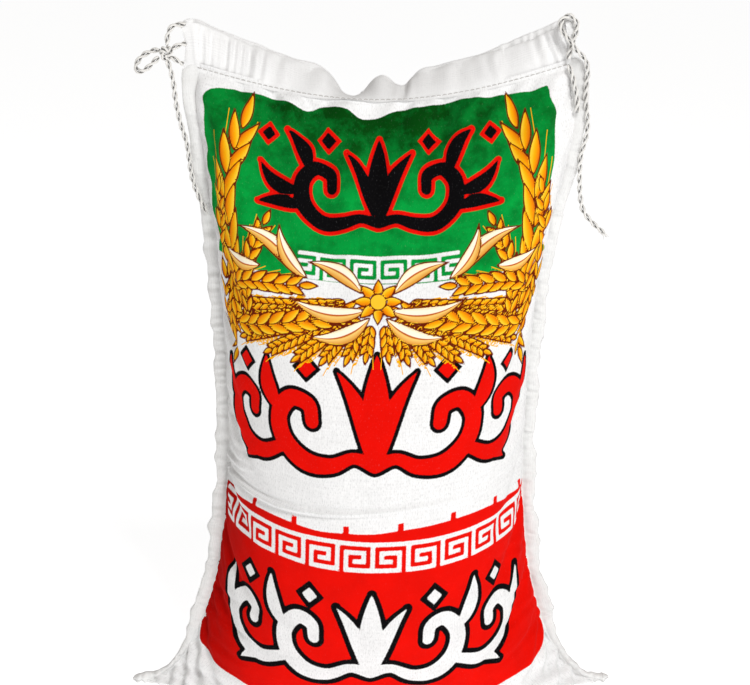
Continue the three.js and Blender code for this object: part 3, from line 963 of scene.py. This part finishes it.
def relief(x, t, seed):
    """All that stands out from the settled form or dips below it, by flat place."""
    inward_left, inward_right = x + FLAT_WIDTH / 2, FLAT_WIDTH / 2 - x
    total = seam_puckers(t, inward_left, seed) + seam_puckers(t, inward_right, seed + 10)
    total += neck_gathers(x, np.maximum(STITCH_LINE - t, 0), seed + 20)
    held = np.minimum(1, np.minimum(inward_left, inward_right) / 12) * ramp(t, 0, 14)
    total += held * (0.5 * crumple(x, t, 46, seed + 30) + 0.16 * crumple(x, t, 15, seed + 31))
    # The rice shows faintly through where the sack is full
    total += held * ramp(450 - t, 0, 80) * 0.05 * crumple(x, t, 5, seed + 32, 24)
    mirrored = 1 if seed == FRONT_SEED else -1
    for points, width, depth in CREASES:
        add_crease(total, x * mirrored, t, points, width, depth)
    return total * (0.15 + 0.85 * smooth_ramp(STITCH_LINE - t, 0, 7))


def outward_normals(grid, out):
    across = np.gradient(grid, axis=1)
    up = np.gradient(grid, axis=0)
    normals = unit(np.cross(across, up))
    return normals if out < 0 else -normals


# The print, drawn on the flat cloth from its own middle line and the bottom seam

PRINT_MIDDLE = -2.5
FAR = 30.0
GREEN_FIELD = [
    (-151, 394), (-151.5, 470), (-150.5, 512), (-148, 518), (-142, 523), (-128, 526.5),
    (-108, 528), (-84, 526.5), (-69, 522.8), (-59, 523.8), (-48, 527.9), (-30, 526.5), (-17, 520.6),
    (-1, 521.5), (11, 525.2), (20, 527.6), (39, 527.8), (65, 530), (87, 528.2), (104, 527.5),
    (121, 525.1), (133, 523.7), (143.5, 524.5), (145, 522), (144.2, 513), (147, 506), (149.5, 502),
    (147.5, 489), (145, 474), (141, 460), (134.5, 440), (129.5, 425), (128, 410), (128, 394),
]
RED_FIELD = [
    (-155, 204), (-125, 207), (-100, 209), (-80, 209.9), (-60, 209), (-41, 207.5), (-20, 208.5),
    (0, 209.2), (20, 211.4), (40, 212.4), (59, 213.4), (80, 213.6), (104, 212), (129, 207),
    (160, 203), (167, 190), (168, 150), (168, 100), (166, 78), (160, 66), (151, 59.5), (138, 56.5),
    (110, 57.5), (60, 57), (0, 57.5), (-60, 57), (-106, 57.2), (-121, 56.8), (-136, 58.2),
    (-147, 62.4), (-156, 69), (-163, 80), (-167, 100), (-168, 150), (-166, 190),
]
# Small square teeth on the red field's upper edge
TEETH = {"apart": 41, "width": 4.4, "height": 5.5}
# One turn of the key, in strokes of the line's own width
KEY_STROKES = [
    ((0, 0), (8, 0)), ((0, 0), (0, 6)), ((0, 6), (6, 6)), ((6, 2), (6, 6)),
    ((2, 2), (6, 2)), ((2, 2), (2, 4)), ((2, 4), (4, 4)),
]
KEY_BANDS = [
    {"line": 3.35, "top": 203, "reach": 151},
    {"line": 2.9, "top": 414, "reach": 62},
]

# Leaves as (foot, tip, width, bend), vines as points with half widths, all mirrored
TOP_LEAVES = [
    ((0, 442), (0, 505), 17, 0), ((4, 444), (27, 492), 11, 5), ((62, 458), (97, 478), 11, -6),
    ((58, 474), (78, 505), 12, 5), ((62, 446), (96, 446), 10, 4),
]
TOP_VINES = [
    [(0, 440, 4.4), (14, 442, 3.6), (28, 438, 4.8), (46, 438, 6), (60, 450, 6.4), (62, 467, 6),
     (52, 479, 5.2), (40, 475, 4.6), (38, 464, 4.2)],
]
TOP_LOZENGES = [(42, 501, 6.6), (93, 500, 5.6)]
MIDDLE_LEAVES = [
    ((0, 262), (0, 341), 21, 0), ((5, 264), (30, 328), 13, 6), ((74, 292), (86, 332), 14, -6),
    ((123, 282), (135, 317), 12, -4), ((84, 258), (112, 246), 9, 3),
]
MIDDLE_VINES = [
    [(0, 260, 5.4), (16, 265, 4.2), (33, 258, 5.6), (54, 259, 7.2), (71, 272, 7.6), (75, 290, 7),
     (65, 304, 6.2), (51, 301, 5.6), (48, 289, 5)],
    [(73, 266, 4.2), (92, 257, 5.8), (111, 261, 7), (124, 276, 7.2), (124, 292, 6.4),
     (114, 302, 5.6), (101, 298, 5), (100, 287, 4.6)],
]
MIDDLE_LOZENGES = [(53, 328, 7.2), (108, 323, 6.6)]
LOW_LEAVES = [
    ((0, 98), (0, 162), 18, 0), ((5, 100), (27, 150), 11, 5), ((68, 124), (82, 163), 12, -5),
    ((119, 112), (131, 148), 11, -3), ((84, 91), (106, 80), 8, 3),
]
LOW_VINES = [
    [(0, 97, 5), (16, 100, 3.8), (33, 92, 5), (51, 93, 6.4), (65, 105, 6.8), (68, 122, 6.4),
     (58, 136, 5.6), (46, 133, 5), (44, 122, 4.4)],
    [(70, 98, 4), (88, 91, 5.2), (105, 95, 6.2), (118, 107, 6.4), (118, 123, 5.8),
     (108, 133, 5.2), (98, 128, 4.6), (97, 119, 4.2)],
]
LOW_LOZENGES = [(48, 156, 6.2), (104, 155, 5.8)]

# Ears of rice as (spine, pairs of grains, grain length and width, spread in degrees, bristle)
EARS = [
    ([(108, 344), (118, 392), (124, 446), (115, 498)], 8, (36, 9.2), 20, 27),
    ([(134, 336), (137, 390), (131, 444)], 8, (17, 6), 27, 15),
    ([(104, 350), (103, 388), (90, 428)], 8, (16, 5.8), 26, 15),
    ([(134, 372), (104, 384), (60, 388)], 8, (17, 6.2), 27, 14),
    ([(138, 352), (110, 350), (62, 361), (18, 372)], 11, (19, 6.8), 27, 14),
    ([(134, 392), (125, 370), (128, 326)], 7, (16, 5.8), 24, 13),
]
# Smaller ears that fan out below, as (direction in degrees, reach from the fan's centre)
FAN_CENTRE = (0, 380)
FAN_EARS = [
    (-7, 130), (-13, 136), (-20, 122), (-28, 100), (-37, 81), (-48, 65), (-62, 53), (-78, 46),
]
CREAM_LEAVES = [
    ((60, 394), (110, 424), 13, 8), ((54, 394), (78, 432), 11, -6), ((90, 398), (126, 406), 11, -5),
    ((12, 386), (54, 406), 12, 6), ((8, 374), (66, 378), 12, -7), ((6, 368), (52, 352), 12, -7),
]
ROSETTE = {"centre": (0, 380), "petals": 8, "grain": (13, 7), "heart": 6}


def polygon_distance(x, t, corners):
    """Distance to a closed outline with its corners eased, less than 0 inside."""
    corners = through(corners + corners[:1], step=5).tolist()[:-1]
    nearest = np.full(x.shape, np.inf)
    inside = np.zeros(x.shape, bool)
    for (ax, at), (bx, bt) in zip(corners, corners[1:] + corners[:1]):
        dx, dt = bx - ax, bt - at
        share = np.clip(((x - ax) * dx + (t - at) * dt) / (dx * dx + dt * dt), 0, 1)
        nearest = np.minimum(nearest, np.hypot(x - ax - share * dx, t - at - share * dt))
        if at != bt:
            passes = (at > t) != (bt > t)
            inside ^= passes & (x < (t - at) * dx / dt + ax)
    return np.where(inside, -nearest, nearest)


def turned(direction, degrees):
    c, s = math.cos(math.radians(degrees)), math.sin(math.radians(degrees))
    return np.array([direction[0] * c - direction[1] * s, direction[0] * s + direction[1] * c])


class FlatPrint:
    """How far each point of the flat cloth lies from the edges of the printed shapes."""

    def __init__(self, across, up):
        self.across = across - PRINT_MIDDLE
        self.up = up
        self.x, self.t = np.meshgrid(self.across, self.up)
        far = np.full(self.x.shape, FAR)
        self.motif, self.key = far.copy(), far.copy()
        self.grain, self.grain_edge, self.tone = -far, far.copy(), 0 * far
        self.bristle_distance, self.bristle_offset = far.copy(), 0 * far

    def on_both_sides(self, points, margin):
        """The points as given and mirrored, each time with the part of the cloth round them."""
        for mirror in (1, -1):
            placed = np.asarray(points, float) * (mirror, 1)
            low, high = placed.min(0) - margin, placed.max(0) + margin
            columns = slice(*np.searchsorted(self.across, (low[0], high[0])))
            rows = slice(*np.searchsorted(self.up, (low[1], high[1])))
            yield mirror, placed, (rows, columns)

    def vine(self, points):
        line = through(points, step=0.8)
        for _, places, part in self.on_both_sides(line[:, :2], 18):
            x, t, motif = self.x[part], self.t[part], self.motif[part]
            for (px, pt), half in zip(places, line[:, 2]):
                np.minimum(motif, np.hypot(x - px, t - pt) - half, out=motif)

    def lozenge(self, x, t, half):
        for _, [(px, pt)], part in self.on_both_sides([(x, t)], half + 8):
            away = np.abs(self.x[part] - px) + np.abs(self.t[part] - pt)
            self.motif[part] = np.minimum(self.motif[part], (away - half) * 0.72)

    def leaf_depth(self, ends, width, bend, part, point):
        """Depth inside a leaf or grain, its place from foot to tip, and its place across."""
        foot, tip = ends
        length = np.hypot(*(tip - foot))
        ahead = (tip - foot) / length
        x, t = self.x[part] - foot[0], self.t[part] - foot[1]
        along = (x * ahead[0] + t * ahead[1]) / length
        held = np.clip(along, 0, 1)
        across = x * -ahead[1] + t * ahead[0] - bend * 4 * held * (1 - held)
        half = width / 2 * np.sin(math.pi * held**0.8) ** point
        beyond = np.abs(along - held) * length
        depth = np.where(beyond > 0, -np.hypot(beyond, across), half - np.abs(across))
        return depth, held, across / (half + 0.3)

    def leaf(self, foot, tip, width, bend):
        for mirror, ends, part in self.on_both_sides([foot, tip], width + 10):
            depth, _, _ = self.leaf_depth(ends, width, bend * mirror, part, 0.85)
            self.motif[part] = np.minimum(self.motif[part], -depth)

    def lay_grain(self, foot, tip, width, bend=0, cream=False):
        """A golden grain or cream leaf with its outline, over what lies there already."""
        for mirror, ends, part in self.on_both_sides([foot, tip], width + 6):
            depth, along, across = self.leaf_depth(ends, width, bend * mirror, part, 1.1)
            lit = np.clip(across * mirror, -1, 1)
            tone = np.clip(0.9 * (0.5 + 0.5 * lit) + 0.22 * along - 0.06, 0, 1)
            if cream:
                tone = 1.5 + 0.5 * lit
            covers = depth > -0.1
            grain, edge = self.grain[part], self.grain_edge[part]
            # The tone runs on past the outline where no other grain lies
            coloured = covers | ((grain < -0.1) & (depth > -1.6))
            self.tone[part] = np.where(coloured, tone, self.tone[part])
            self.grain[part] = np.where(covers, depth, np.maximum(grain, depth))
            self.grain_edge[part] = np.where(covers | (np.abs(depth) < np.abs(edge)), depth, edge)

    def bristle(self, foot, tip):
        """A long fine bristle, told by the signed offset from it so that it stays thin."""
        for _, (root, end), part in self.on_both_sides([foot, tip], 6):
            length = np.hypot(*(end - root))
            ahead = (end - root) / length
            x, t = self.x[part] - root[0], self.t[part] - root[1]
            along = x * ahead[0] + t * ahead[1]
            offset = t * ahead[0] - x * ahead[1]
            away = np.hypot(offset, np.maximum(np.maximum(-along, along - length), 0))
            closer = away < self.bristle_distance[part]
            self.bristle_offset[part] = np.where(closer, offset, self.bristle_offset[part])
            self.bristle_distance[part] = np.where(closer, away, self.bristle_distance[part])

    def ear(self, spine, pairs, grain, spread, bristle):
        """Pairs of grains up a spine, each pair lying over the foot of the next."""
        line = through(spine, pairs * 4 + 1)
        ahead = unit(np.gradient(line, axis=0))
        length, width = grain
        for k in reversed(range(pairs + 1)):
            foot, forward = line[k * 4], ahead[k * 4]
            size = 0.78 + 0.22 * math.sin(math.pi * (0.15 + 0.7 * k / pairs))
            for turn in (spread, -spread) if k < pairs else (0,):
                tip = foot + turned(forward, turn) * length * size
                self.lay_grain(foot, tip, width * size)
                if k < pairs - 1:
                    root = foot + (tip - foot) * 0.7
                    self.bristle(root, root + turned(forward, turn * 0.45) * bristle * size)

    def key_band(self, line, top, reach):
        """A row of keys that mirror each other about the middle, in lines of the given width."""
        turn = np.mod(np.abs(self.x) / line, 8)
        drop = (top - self.t) / line - 0.5
        nearest = np.full(self.x.shape, FAR)
        for (ax, ay), (bx, by) in KEY_STROKES:
            for shift in (0, 8, -8):
                away_x = np.abs(turn - (ax + bx) / 2 - shift) - (bx - ax) / 2
                away_y = np.abs(drop - (ay + by) / 2) - (by - ay) / 2
                nearest = np.minimum(nearest, np.maximum(away_x, away_y))
        nearest = np.maximum((nearest - 0.5) * line, np.abs(self.x) - reach)
        self.key = np.minimum(self.key, nearest)

    def rosette(self, centre, petals, grain, heart):
        centre = np.array(centre)
        length, width = grain
        for k in range(petals // 2 + 1):
            angle = math.pi / 2 - 2 * math.pi * k / petals
            out = np.array([math.cos(angle), math.sin(angle)])
            self.lay_grain(centre + out * 3, centre + out * (length + 6, length + 4), width)
        away = np.hypot(self.x - centre[0], self.t - centre[1])
        covers = away < heart + 0.75
        self.grain = np.where(covers, heart - away, self.grain)
        self.tone = np.where(covers, 0.75, self.tone)
        self.grain_edge = np.where(covers, heart - away, self.grain_edge)

    def draw(self):
        self.green = polygon_distance(self.x, self.t, GREEN_FIELD)
        self.red = polygon_distance(self.x, self.t, RED_FIELD)
        aside = np.mod(self.x, TEETH["apart"]) - TEETH["apart"] / 2
        from_tooth = np.abs(aside) - TEETH["width"] / 2
        above = np.maximum(self.red - TEETH["height"], LOW_MOTIF_TO - self.t)
        self.red = np.minimum(self.red, np.maximum(from_tooth, above))
        for band in KEY_BANDS:
            self.key_band(**band)
        for leaf in TOP_LEAVES + MIDDLE_LEAVES + LOW_LEAVES:
            self.leaf(*leaf)
        for points in TOP_VINES + MIDDLE_VINES + LOW_VINES:
            self.vine(points)
        for lozenge in TOP_LOZENGES + MIDDLE_LOZENGES + LOW_LOZENGES:
            self.lozenge(*lozenge)
        for angle, reach in FAN_EARS:
            out = np.array([math.cos(math.radians(angle)), math.sin(math.radians(angle))])
            near = FAN_CENTRE + out * (24, 18)
            far = FAN_CENTRE + out * (reach - 9)
            pairs = max(2, round((reach - 26) / 7))
            self.ear([near, (near + far) / 2, far], pairs, (12, 4.6), 24, 17)
        for ear in EARS:
            self.ear(*ear)
        for leaf in CREAM_LEAVES:
            self.lay_grain(*leaf, cream=True)
        self.rosette(**ROSETTE)
        return self

    def values(self, mirrored):
        """The print's values by corner, mirrored for the back so that both sides look alike."""
        turn = slice(None, None, -1) if mirrored else slice(None)
        named = {"green_edge": self.green, "red_edge": self.red, "key_edge": self.key,
                 "motif_edge": self.motif, "grain_depth": self.grain, "grain_tone": self.tone,
                 "grain_edge": self.grain_edge, "grain_edge_distance": np.abs(self.grain_edge),
                 "bristle_distance": self.bristle_distance, "bristle_offset": self.bristle_offset}
        return {name: grid[:, turn].ravel() for name, grid in named.items()}


# The panels, their seams and the hem

across = np.linspace(0, FLAT_WIDTH, PANEL_COLUMNS + 1)
up = np.linspace(0, PANEL_TOP, PANEL_ROWS + 1)
flat_x, flat_t = np.meshgrid(across - FLAT_WIDTH / 2, up)
cloth_print = FlatPrint(across - FLAT_WIDTH / 2, up).draw()


def add_cloth(name, corners, faces, finish, values=None):
    add_piece(name, corners, faces, finish, ["sack"], values)


def flat_places(x, t):
    return np.stack([x.ravel(), t.ravel(), np.zeros(x.size)], 1)


def eased_neck(grid):
    """The cloth with its tight little folds under the hem drawn out into soft ones."""
    reach = 14
    places = np.arange(-reach, reach + 1)
    weights = np.exp(-((places / 6.5) ** 2))
    weights = weights / weights.sum()
    padded = np.pad(grid, ((0, 0), (reach, reach), (0, 0)), mode="reflect", reflect_type="odd")
    eased = sum(w * padded[:, k:k + grid.shape[1]] for k, w in enumerate(weights))
    share = smooth_ramp(up, STITCH_LINE - 75, STITCH_LINE - 18)[:, None, None]
    return grid + (eased - grid) * share


def add_panel(name, side, seed):
    out = -1 if side == 0 else 1
    grid = eased_neck(cloth.read(side, across, up))
    normals = outward_normals(grid, out)
    grid = grid + normals * relief(flat_x, flat_t, seed)[..., None]
    grid[..., 2] = np.maximum(grid[..., 2], 0)
    values = cloth_print.values(mirrored=side == 1)
    values["flat_place"] = flat_places(flat_x, flat_t)
    faces = grid_faces(PANEL_ROWS + 1, PANEL_COLUMNS + 1, flip=side == 1)
    add_cloth(name, grid.reshape(-1, 3), faces, printed_cotton, values)


add_panel("front_panel", 0, FRONT_SEED)
add_panel("back_panel", 1, BACK_SEED)

# The casing's profile as (share of its height, distance out from the settled cloth)
CASING_PROFILE = [
    (-0.08, -0.5), (-0.03, -0.35), (0.01, 0.1), (0.06, 0.75), (0.16, 1.5), (0.34, 2.2), (0.6, 2.4),
    (0.82, 2.1), (0.95, 1.6), (1.0, 0.8), (0.985, 0), (0.93, -0.5), (0.75, -0.7), (0.45, -0.7),
]
CASING_OVERHANG = 9  # how far the folded ends stand out past the side seams
CASING_COLUMNS = 320
CASING_ROWS = 43

# Folds of the hem as place across, lean, width and depth, and dips of its front lip
HEM_CREASES = [
    (-159, 0, 2.2, 2.6), (-151, 1, 1.7, 2.1), (-138, 2, 2.2, 3.2), (-131, 2, 1.7, 2.4),
    (-125, 2, 1.9, 2.8), (-118, 2, 3.0, 3.8), (-107, 3, 2.2, 2.4), (-94, 4, 4.2, 2.2),
    (-68, 5, 9, 2.4), (-43, 6, 6, 1.4), (-12, -3, 5, 1.0), (19, 2, 3.2, 3.4), (44, -5, 7, 1.4),
    (68, -4, 5, 1.1), (94, -8, 3.6, 1.8), (112, -6, 7, 1.2), (136, -10, 2.6, 1.6),
    (146.5, -13, 2.2, 3.2), (154, -13, 2.2, 3.4), (161, -10, 2.0, 2.4),
]
LIP_DIPS = [(-43, 26, 3.2), (128, 28, 3.6), (38, 20, 2.2)]


def add_casing(name, side, seed):
    """The folded hem: puffed over its string, drawn in at its stitches, rolled over at the top."""
    out = -1 if side == 0 else 1
    stations = np.linspace(-CASING_OVERHANG, FLAT_WIDTH + CASING_OVERHANG, CASING_COLUMNS + 1)
    held = np.clip(stations, 0, FLAT_WIDTH)
    foot, top = cloth.read(side, held, [STITCH_LINE, FLAT_HEIGHT])
    beyond = (stations - held)[:, None] * np.array([1, 0, 0])
    foot, top = foot + beyond, top + beyond
    profile = through(CASING_PROFILE, count=CASING_ROWS + 1)
    x = stations - FLAT_WIDTH / 2
    rise = unit(top - foot)
    along = unit(np.gradient(foot, axis=0))
    normal = unit(np.cross(along, rise)) * (1 if out < 0 else -1)
    height = np.linalg.norm(top - foot, axis=1)
    lip = 1 + 0.02 * irregular_wave(x, 60, seed) + (0.08 if side == 1 else 0)
    from_end = FLAT_WIDTH / 2 + CASING_OVERHANG - np.abs(x)
    ends = np.minimum(1, from_end / CASING_OVERHANG) ** 0.6
    if side == 0:
        for place, width, drop in LIP_DIPS:
            lip = lip - drop / HEM_HEIGHT * np.exp(-(((x - place) / width) ** 2))
    puff = 1 + 0.25 * irregular_wave(x, 38, seed + 1)
    share, distance = profile[:, :1], profile[:, 1:]
    share = np.where(share > 0.5, 0.5 + (share - 0.5) * (2 * lip - 1), share)
    fade = np.clip(share, 0, 1)
    lift = np.where(distance > 0, distance * puff * (0.25 + 0.75 * ends), distance)
    grip = fade**0.5 * (1 - 0.8 * smooth_ramp(fade, 0.7, 0.97))
    for place, slant, width, depth in HEM_CREASES:
        away = (x * (1 if side == 0 else -1) - place - slant * (fade - 0.5)) / width
        shape = 0.45 * np.exp(-((np.abs(away) - 1.9) ** 2)) - np.exp(-(away**2))
        lift = lift + depth * shape * grip
    lift = lift + (0.7 * irregular_wave(x + 6 * fade, 27, seed + 2)
                   + 0.15 * crumple(x[None, :], share * HEM_HEIGHT, 13, seed + 3)) * fade
    corner = 1 - 0.1 * np.exp(-((from_end / 3.5) ** 2)) * fade**2
    grid = foot + rise * (share * corner * height)[..., None] + normal * lift[..., None]
    drawn_in = 2.6 * np.sin(math.pi * fade) * np.exp(-((from_end / 5) ** 2))
    grid[..., 0] -= np.sign(x) * drawn_in
    t = STITCH_LINE + np.arange(len(profile))[:, None] * 1.4 + 0 * x
    values = {"flat_place": flat_places(np.broadcast_to(x, t.shape), t)}
    faces = grid_faces(*grid.shape[:2], flip=side == 1)
    add_cloth(name, grid.reshape(-1, 3), faces, plain_cotton, values)
    sewn = (stations > 1) & (stations < FLAT_WIDTH - 1)
    return foot[sewn] + normal[sewn] * 0.25, normal[sewn]


STITCH = 3.0
STITCH_GAP = 1.3
STITCH_RADIUS = 0.34


def add_stitches(name, rows):
    """Sewn rows of thread, each given as its line and the direction out of the cloth."""
    parts = []
    for line, outward in rows:
        walked = walked_along(line)
        for start in np.arange(1, walked[-1] - STITCH, STITCH + STITCH_GAP):
            places = start + STITCH * np.array([0, 0.12, 0.5, 0.88, 1])
            point = np.stack([np.interp(places, walked, line[:, k]) for k in range(3)], 1)
            out = np.stack([np.interp(places, walked, outward[:, k]) for k in range(3)], 1)
            sunk = np.array([-0.5, 0.0, 0.18, 0.0, -0.5])[:, None]
            parts.append(tube(point + out * sunk, STITCH_RADIUS, 6))
    corners, faces = join(parts)
    add_cloth(name, corners, faces, sewing_thread)


hem_rows = [add_casing("front_casing", 0, 61), add_casing("back_casing", 1, 81)]
add_stitches("hem_stitches", hem_rows)

# Half the seam allowance's outline, from the stitches out to its folded edge
FLANGE_PROFILE = [
    (-0.2, 1.3), (-0.06, 0.85), (0.02, 0.62), (0.1, 0.95), (0.26, 2.0), (0.46, 2.7), (0.66, 2.7),
    (0.84, 2.1), (0.96, 1.2), (1.0, 0),
]
SEAM_STEP = 0.9
LEFT_FLANGE = [[-194, 3.4], [-184, 2.8]] + [[-x, z] for x, z in LEFT_SEAM[1:]]
RIGHT_FLANGE = [[193, 5.2], [186, 3]] + [[x, z] for x, z in RIGHT_SEAM[1:]]
STITCH_HEIGHTS = {-1: cloth.left[cloth.hem_row, 1], 1: cloth.right[cloth.hem_row, 1]}


def add_side_seam(name, line, outward, seed):
    """The folded seam allowance, gathered by its stitches, down to the corner's blunt tip."""
    half = through(FLANGE_PROFILE, count=15)
    ring = np.vstack([half, (half * (1, -1))[-2::-1]])
    from_stitches, half_thickness = ring.T[:, None]
    face = np.sign(half_thickness)
    share = from_stitches.clip(0)
    seam = through(line, step=SEAM_STEP)
    seam = seam[seam[:, 1] < STITCH_HEIGHTS[outward] + 4]
    walked = np.arange(len(seam))[:, None] * SEAM_STEP
    end = walked[-1]
    forward = unit(np.gradient(seam, axis=0))
    sideways = np.stack([forward[:, 1], -forward[:, 0]], 1) * outward

    def wave(length, number):
        return irregular_wave(walked, length, seed + number)

    tip = np.exp(-(walked / 13) ** 2)
    pleats = 0.75 * wave(25, 0) + 0.35 * wave(12, 6)
    calm = 1 - 0.7 * smooth_ramp(walked, *CALM_SEAM)
    fine = wave(6.5, 1) * calm
    width = FLANGE_WIDTH * (1.05 + 0.15 * pleats * calm + 0.12 * wave(80, 2))
    width = width * (1 - 0.5 * smooth_ramp(84 - walked, 0, 34) + 0.16 * tip)
    pinch = 1 - 0.35 * np.exp(-((walked - 14) / 5) ** 2)
    pinch = pinch * (1 - 0.5 * smooth_ramp(walked, end - 90, end - 10))
    thick = (1 + 0.28 * wave(16, 3) + 0.8 * tip) * pinch
    closing = np.sqrt(np.clip(walked / 5, 0.02, 1)) * np.sqrt(np.clip((end - walked) / 4, 0.3, 1))
    out = from_stitches * (width * closing)
    out = np.where(out < 0, out * (1 + 0.8 * fine), out)
    ruffle = 1.3 * pleats * share**1.5 + 1.4 * wave(62, 4) * share
    y = -half_thickness * (thick * closing) + ruffle * (1 - tip)
    y = y - face * (0.8 * fine * np.sin(math.pi * share.clip(0, 1)))
    crushed = crumple(walked, from_stitches * 13 + face * 20, 10, seed + 8)
    y = y + 0.75 * crushed * share**0.7 * calm * (1 - tip)
    # Each pleat leans down as it runs out
    lean = 1.8 * share * wave(24, 5) * (1 - tip)
    x = seam[:, :1] + sideways[:, :1] * out + forward[:, :1] * lean
    z = seam[:, 1:] + sideways[:, 1:] * out + forward[:, 1:] * lean
    grid = np.stack([x, y, z], -1)
    grid[..., 2] = np.maximum(grid[..., 2], 0)
    t = np.broadcast_to(walked, x.shape)
    around = np.broadcast_to(np.arange(len(ring)) * 1.1 + 170, x.shape)
    faces = grid_faces(*x.shape, closed=True, flip=outward > 0).tolist()
    last = (len(seam) - 1) * len(ring)
    faces.append(list(range(len(ring)))[::1 if outward > 0 else -1])
    faces.append([last + k for k in range(len(ring))][::-1 if outward > 0 else 1])
    values = {"flat_place": flat_places(around, t)}
    add_cloth(name, grid.reshape(-1, 3), faces, seam_cotton, values)


add_side_seam("left_side_seam", LEFT_FLANGE, -1, 201)
add_side_seam("right_side_seam", RIGHT_FLANGE, 1, 231)


# Floor and light, in metres

FLOOR_REACH = 14
FLOOR_GLOW_STRENGTH = 0.79
STUDIO_GLOW = (1, 0.93, 0.86, 1)
STUDIO_GLOW_STRENGTH = 0.25
KEY_PLACE = (0.85, -1.9, 2.15)
KEY_AIM = (0, 0, 0.3)
KEY_WIDTH = 0.9
KEY_POWER = 47


def add_floor():
    finish = make_noisy_finish("white floor", 0.9, FLOOR_WHITE, 4, 0.01, 0.985)
    finish.feed(finish.shader.inputs["Emission Color"], FLOOR_GLOW)
    finish.feed(finish.shader.inputs["Emission Strength"], FLOOR_GLOW_STRENGTH)
    mesh = bpy.data.meshes.new("floor")
    turns = [(-1, -1), (1, -1), (1, 1), (-1, 1)]
    corners = [(x * FLOOR_REACH, y * FLOOR_REACH, 0) for x, y in turns]
    mesh.from_pydata(corners, [], [(0, 1, 2, 3)])
    mesh.materials.append(finish.material)
    floor = bpy.data.objects.new("floor", mesh)
    bpy.context.scene.collection.objects.link(floor)


def set_lights():
    """One large lamp to the right of the camera, and a soft warm glow from all round."""
    scene = bpy.context.scene
    scene.view_settings.view_transform = "Standard"
    scene.view_settings.look = "None"
    scene.world = bpy.data.worlds.new("studio")
    scene.world.use_nodes = True
    glow = scene.world.node_tree.nodes["Background"].inputs
    glow["Color"].default_value = STUDIO_GLOW
    glow["Strength"].default_value = STUDIO_GLOW_STRENGTH
    lamp = bpy.data.lights.new("key", "AREA")
    lamp.size = KEY_WIDTH
    lamp.energy = KEY_POWER
    key = bpy.data.objects.new("key", lamp)
    key.location = KEY_PLACE
    toward = np.subtract(KEY_AIM, KEY_PLACE)
    yaw = math.atan2(toward[1], toward[0]) - math.pi / 2
    pitch = math.atan2(toward[2], math.hypot(toward[0], toward[1])) + math.pi / 2
    key.rotation_euler = (pitch, 0, yaw)
    scene.collection.objects.link(key)


add_floor()
set_lights()
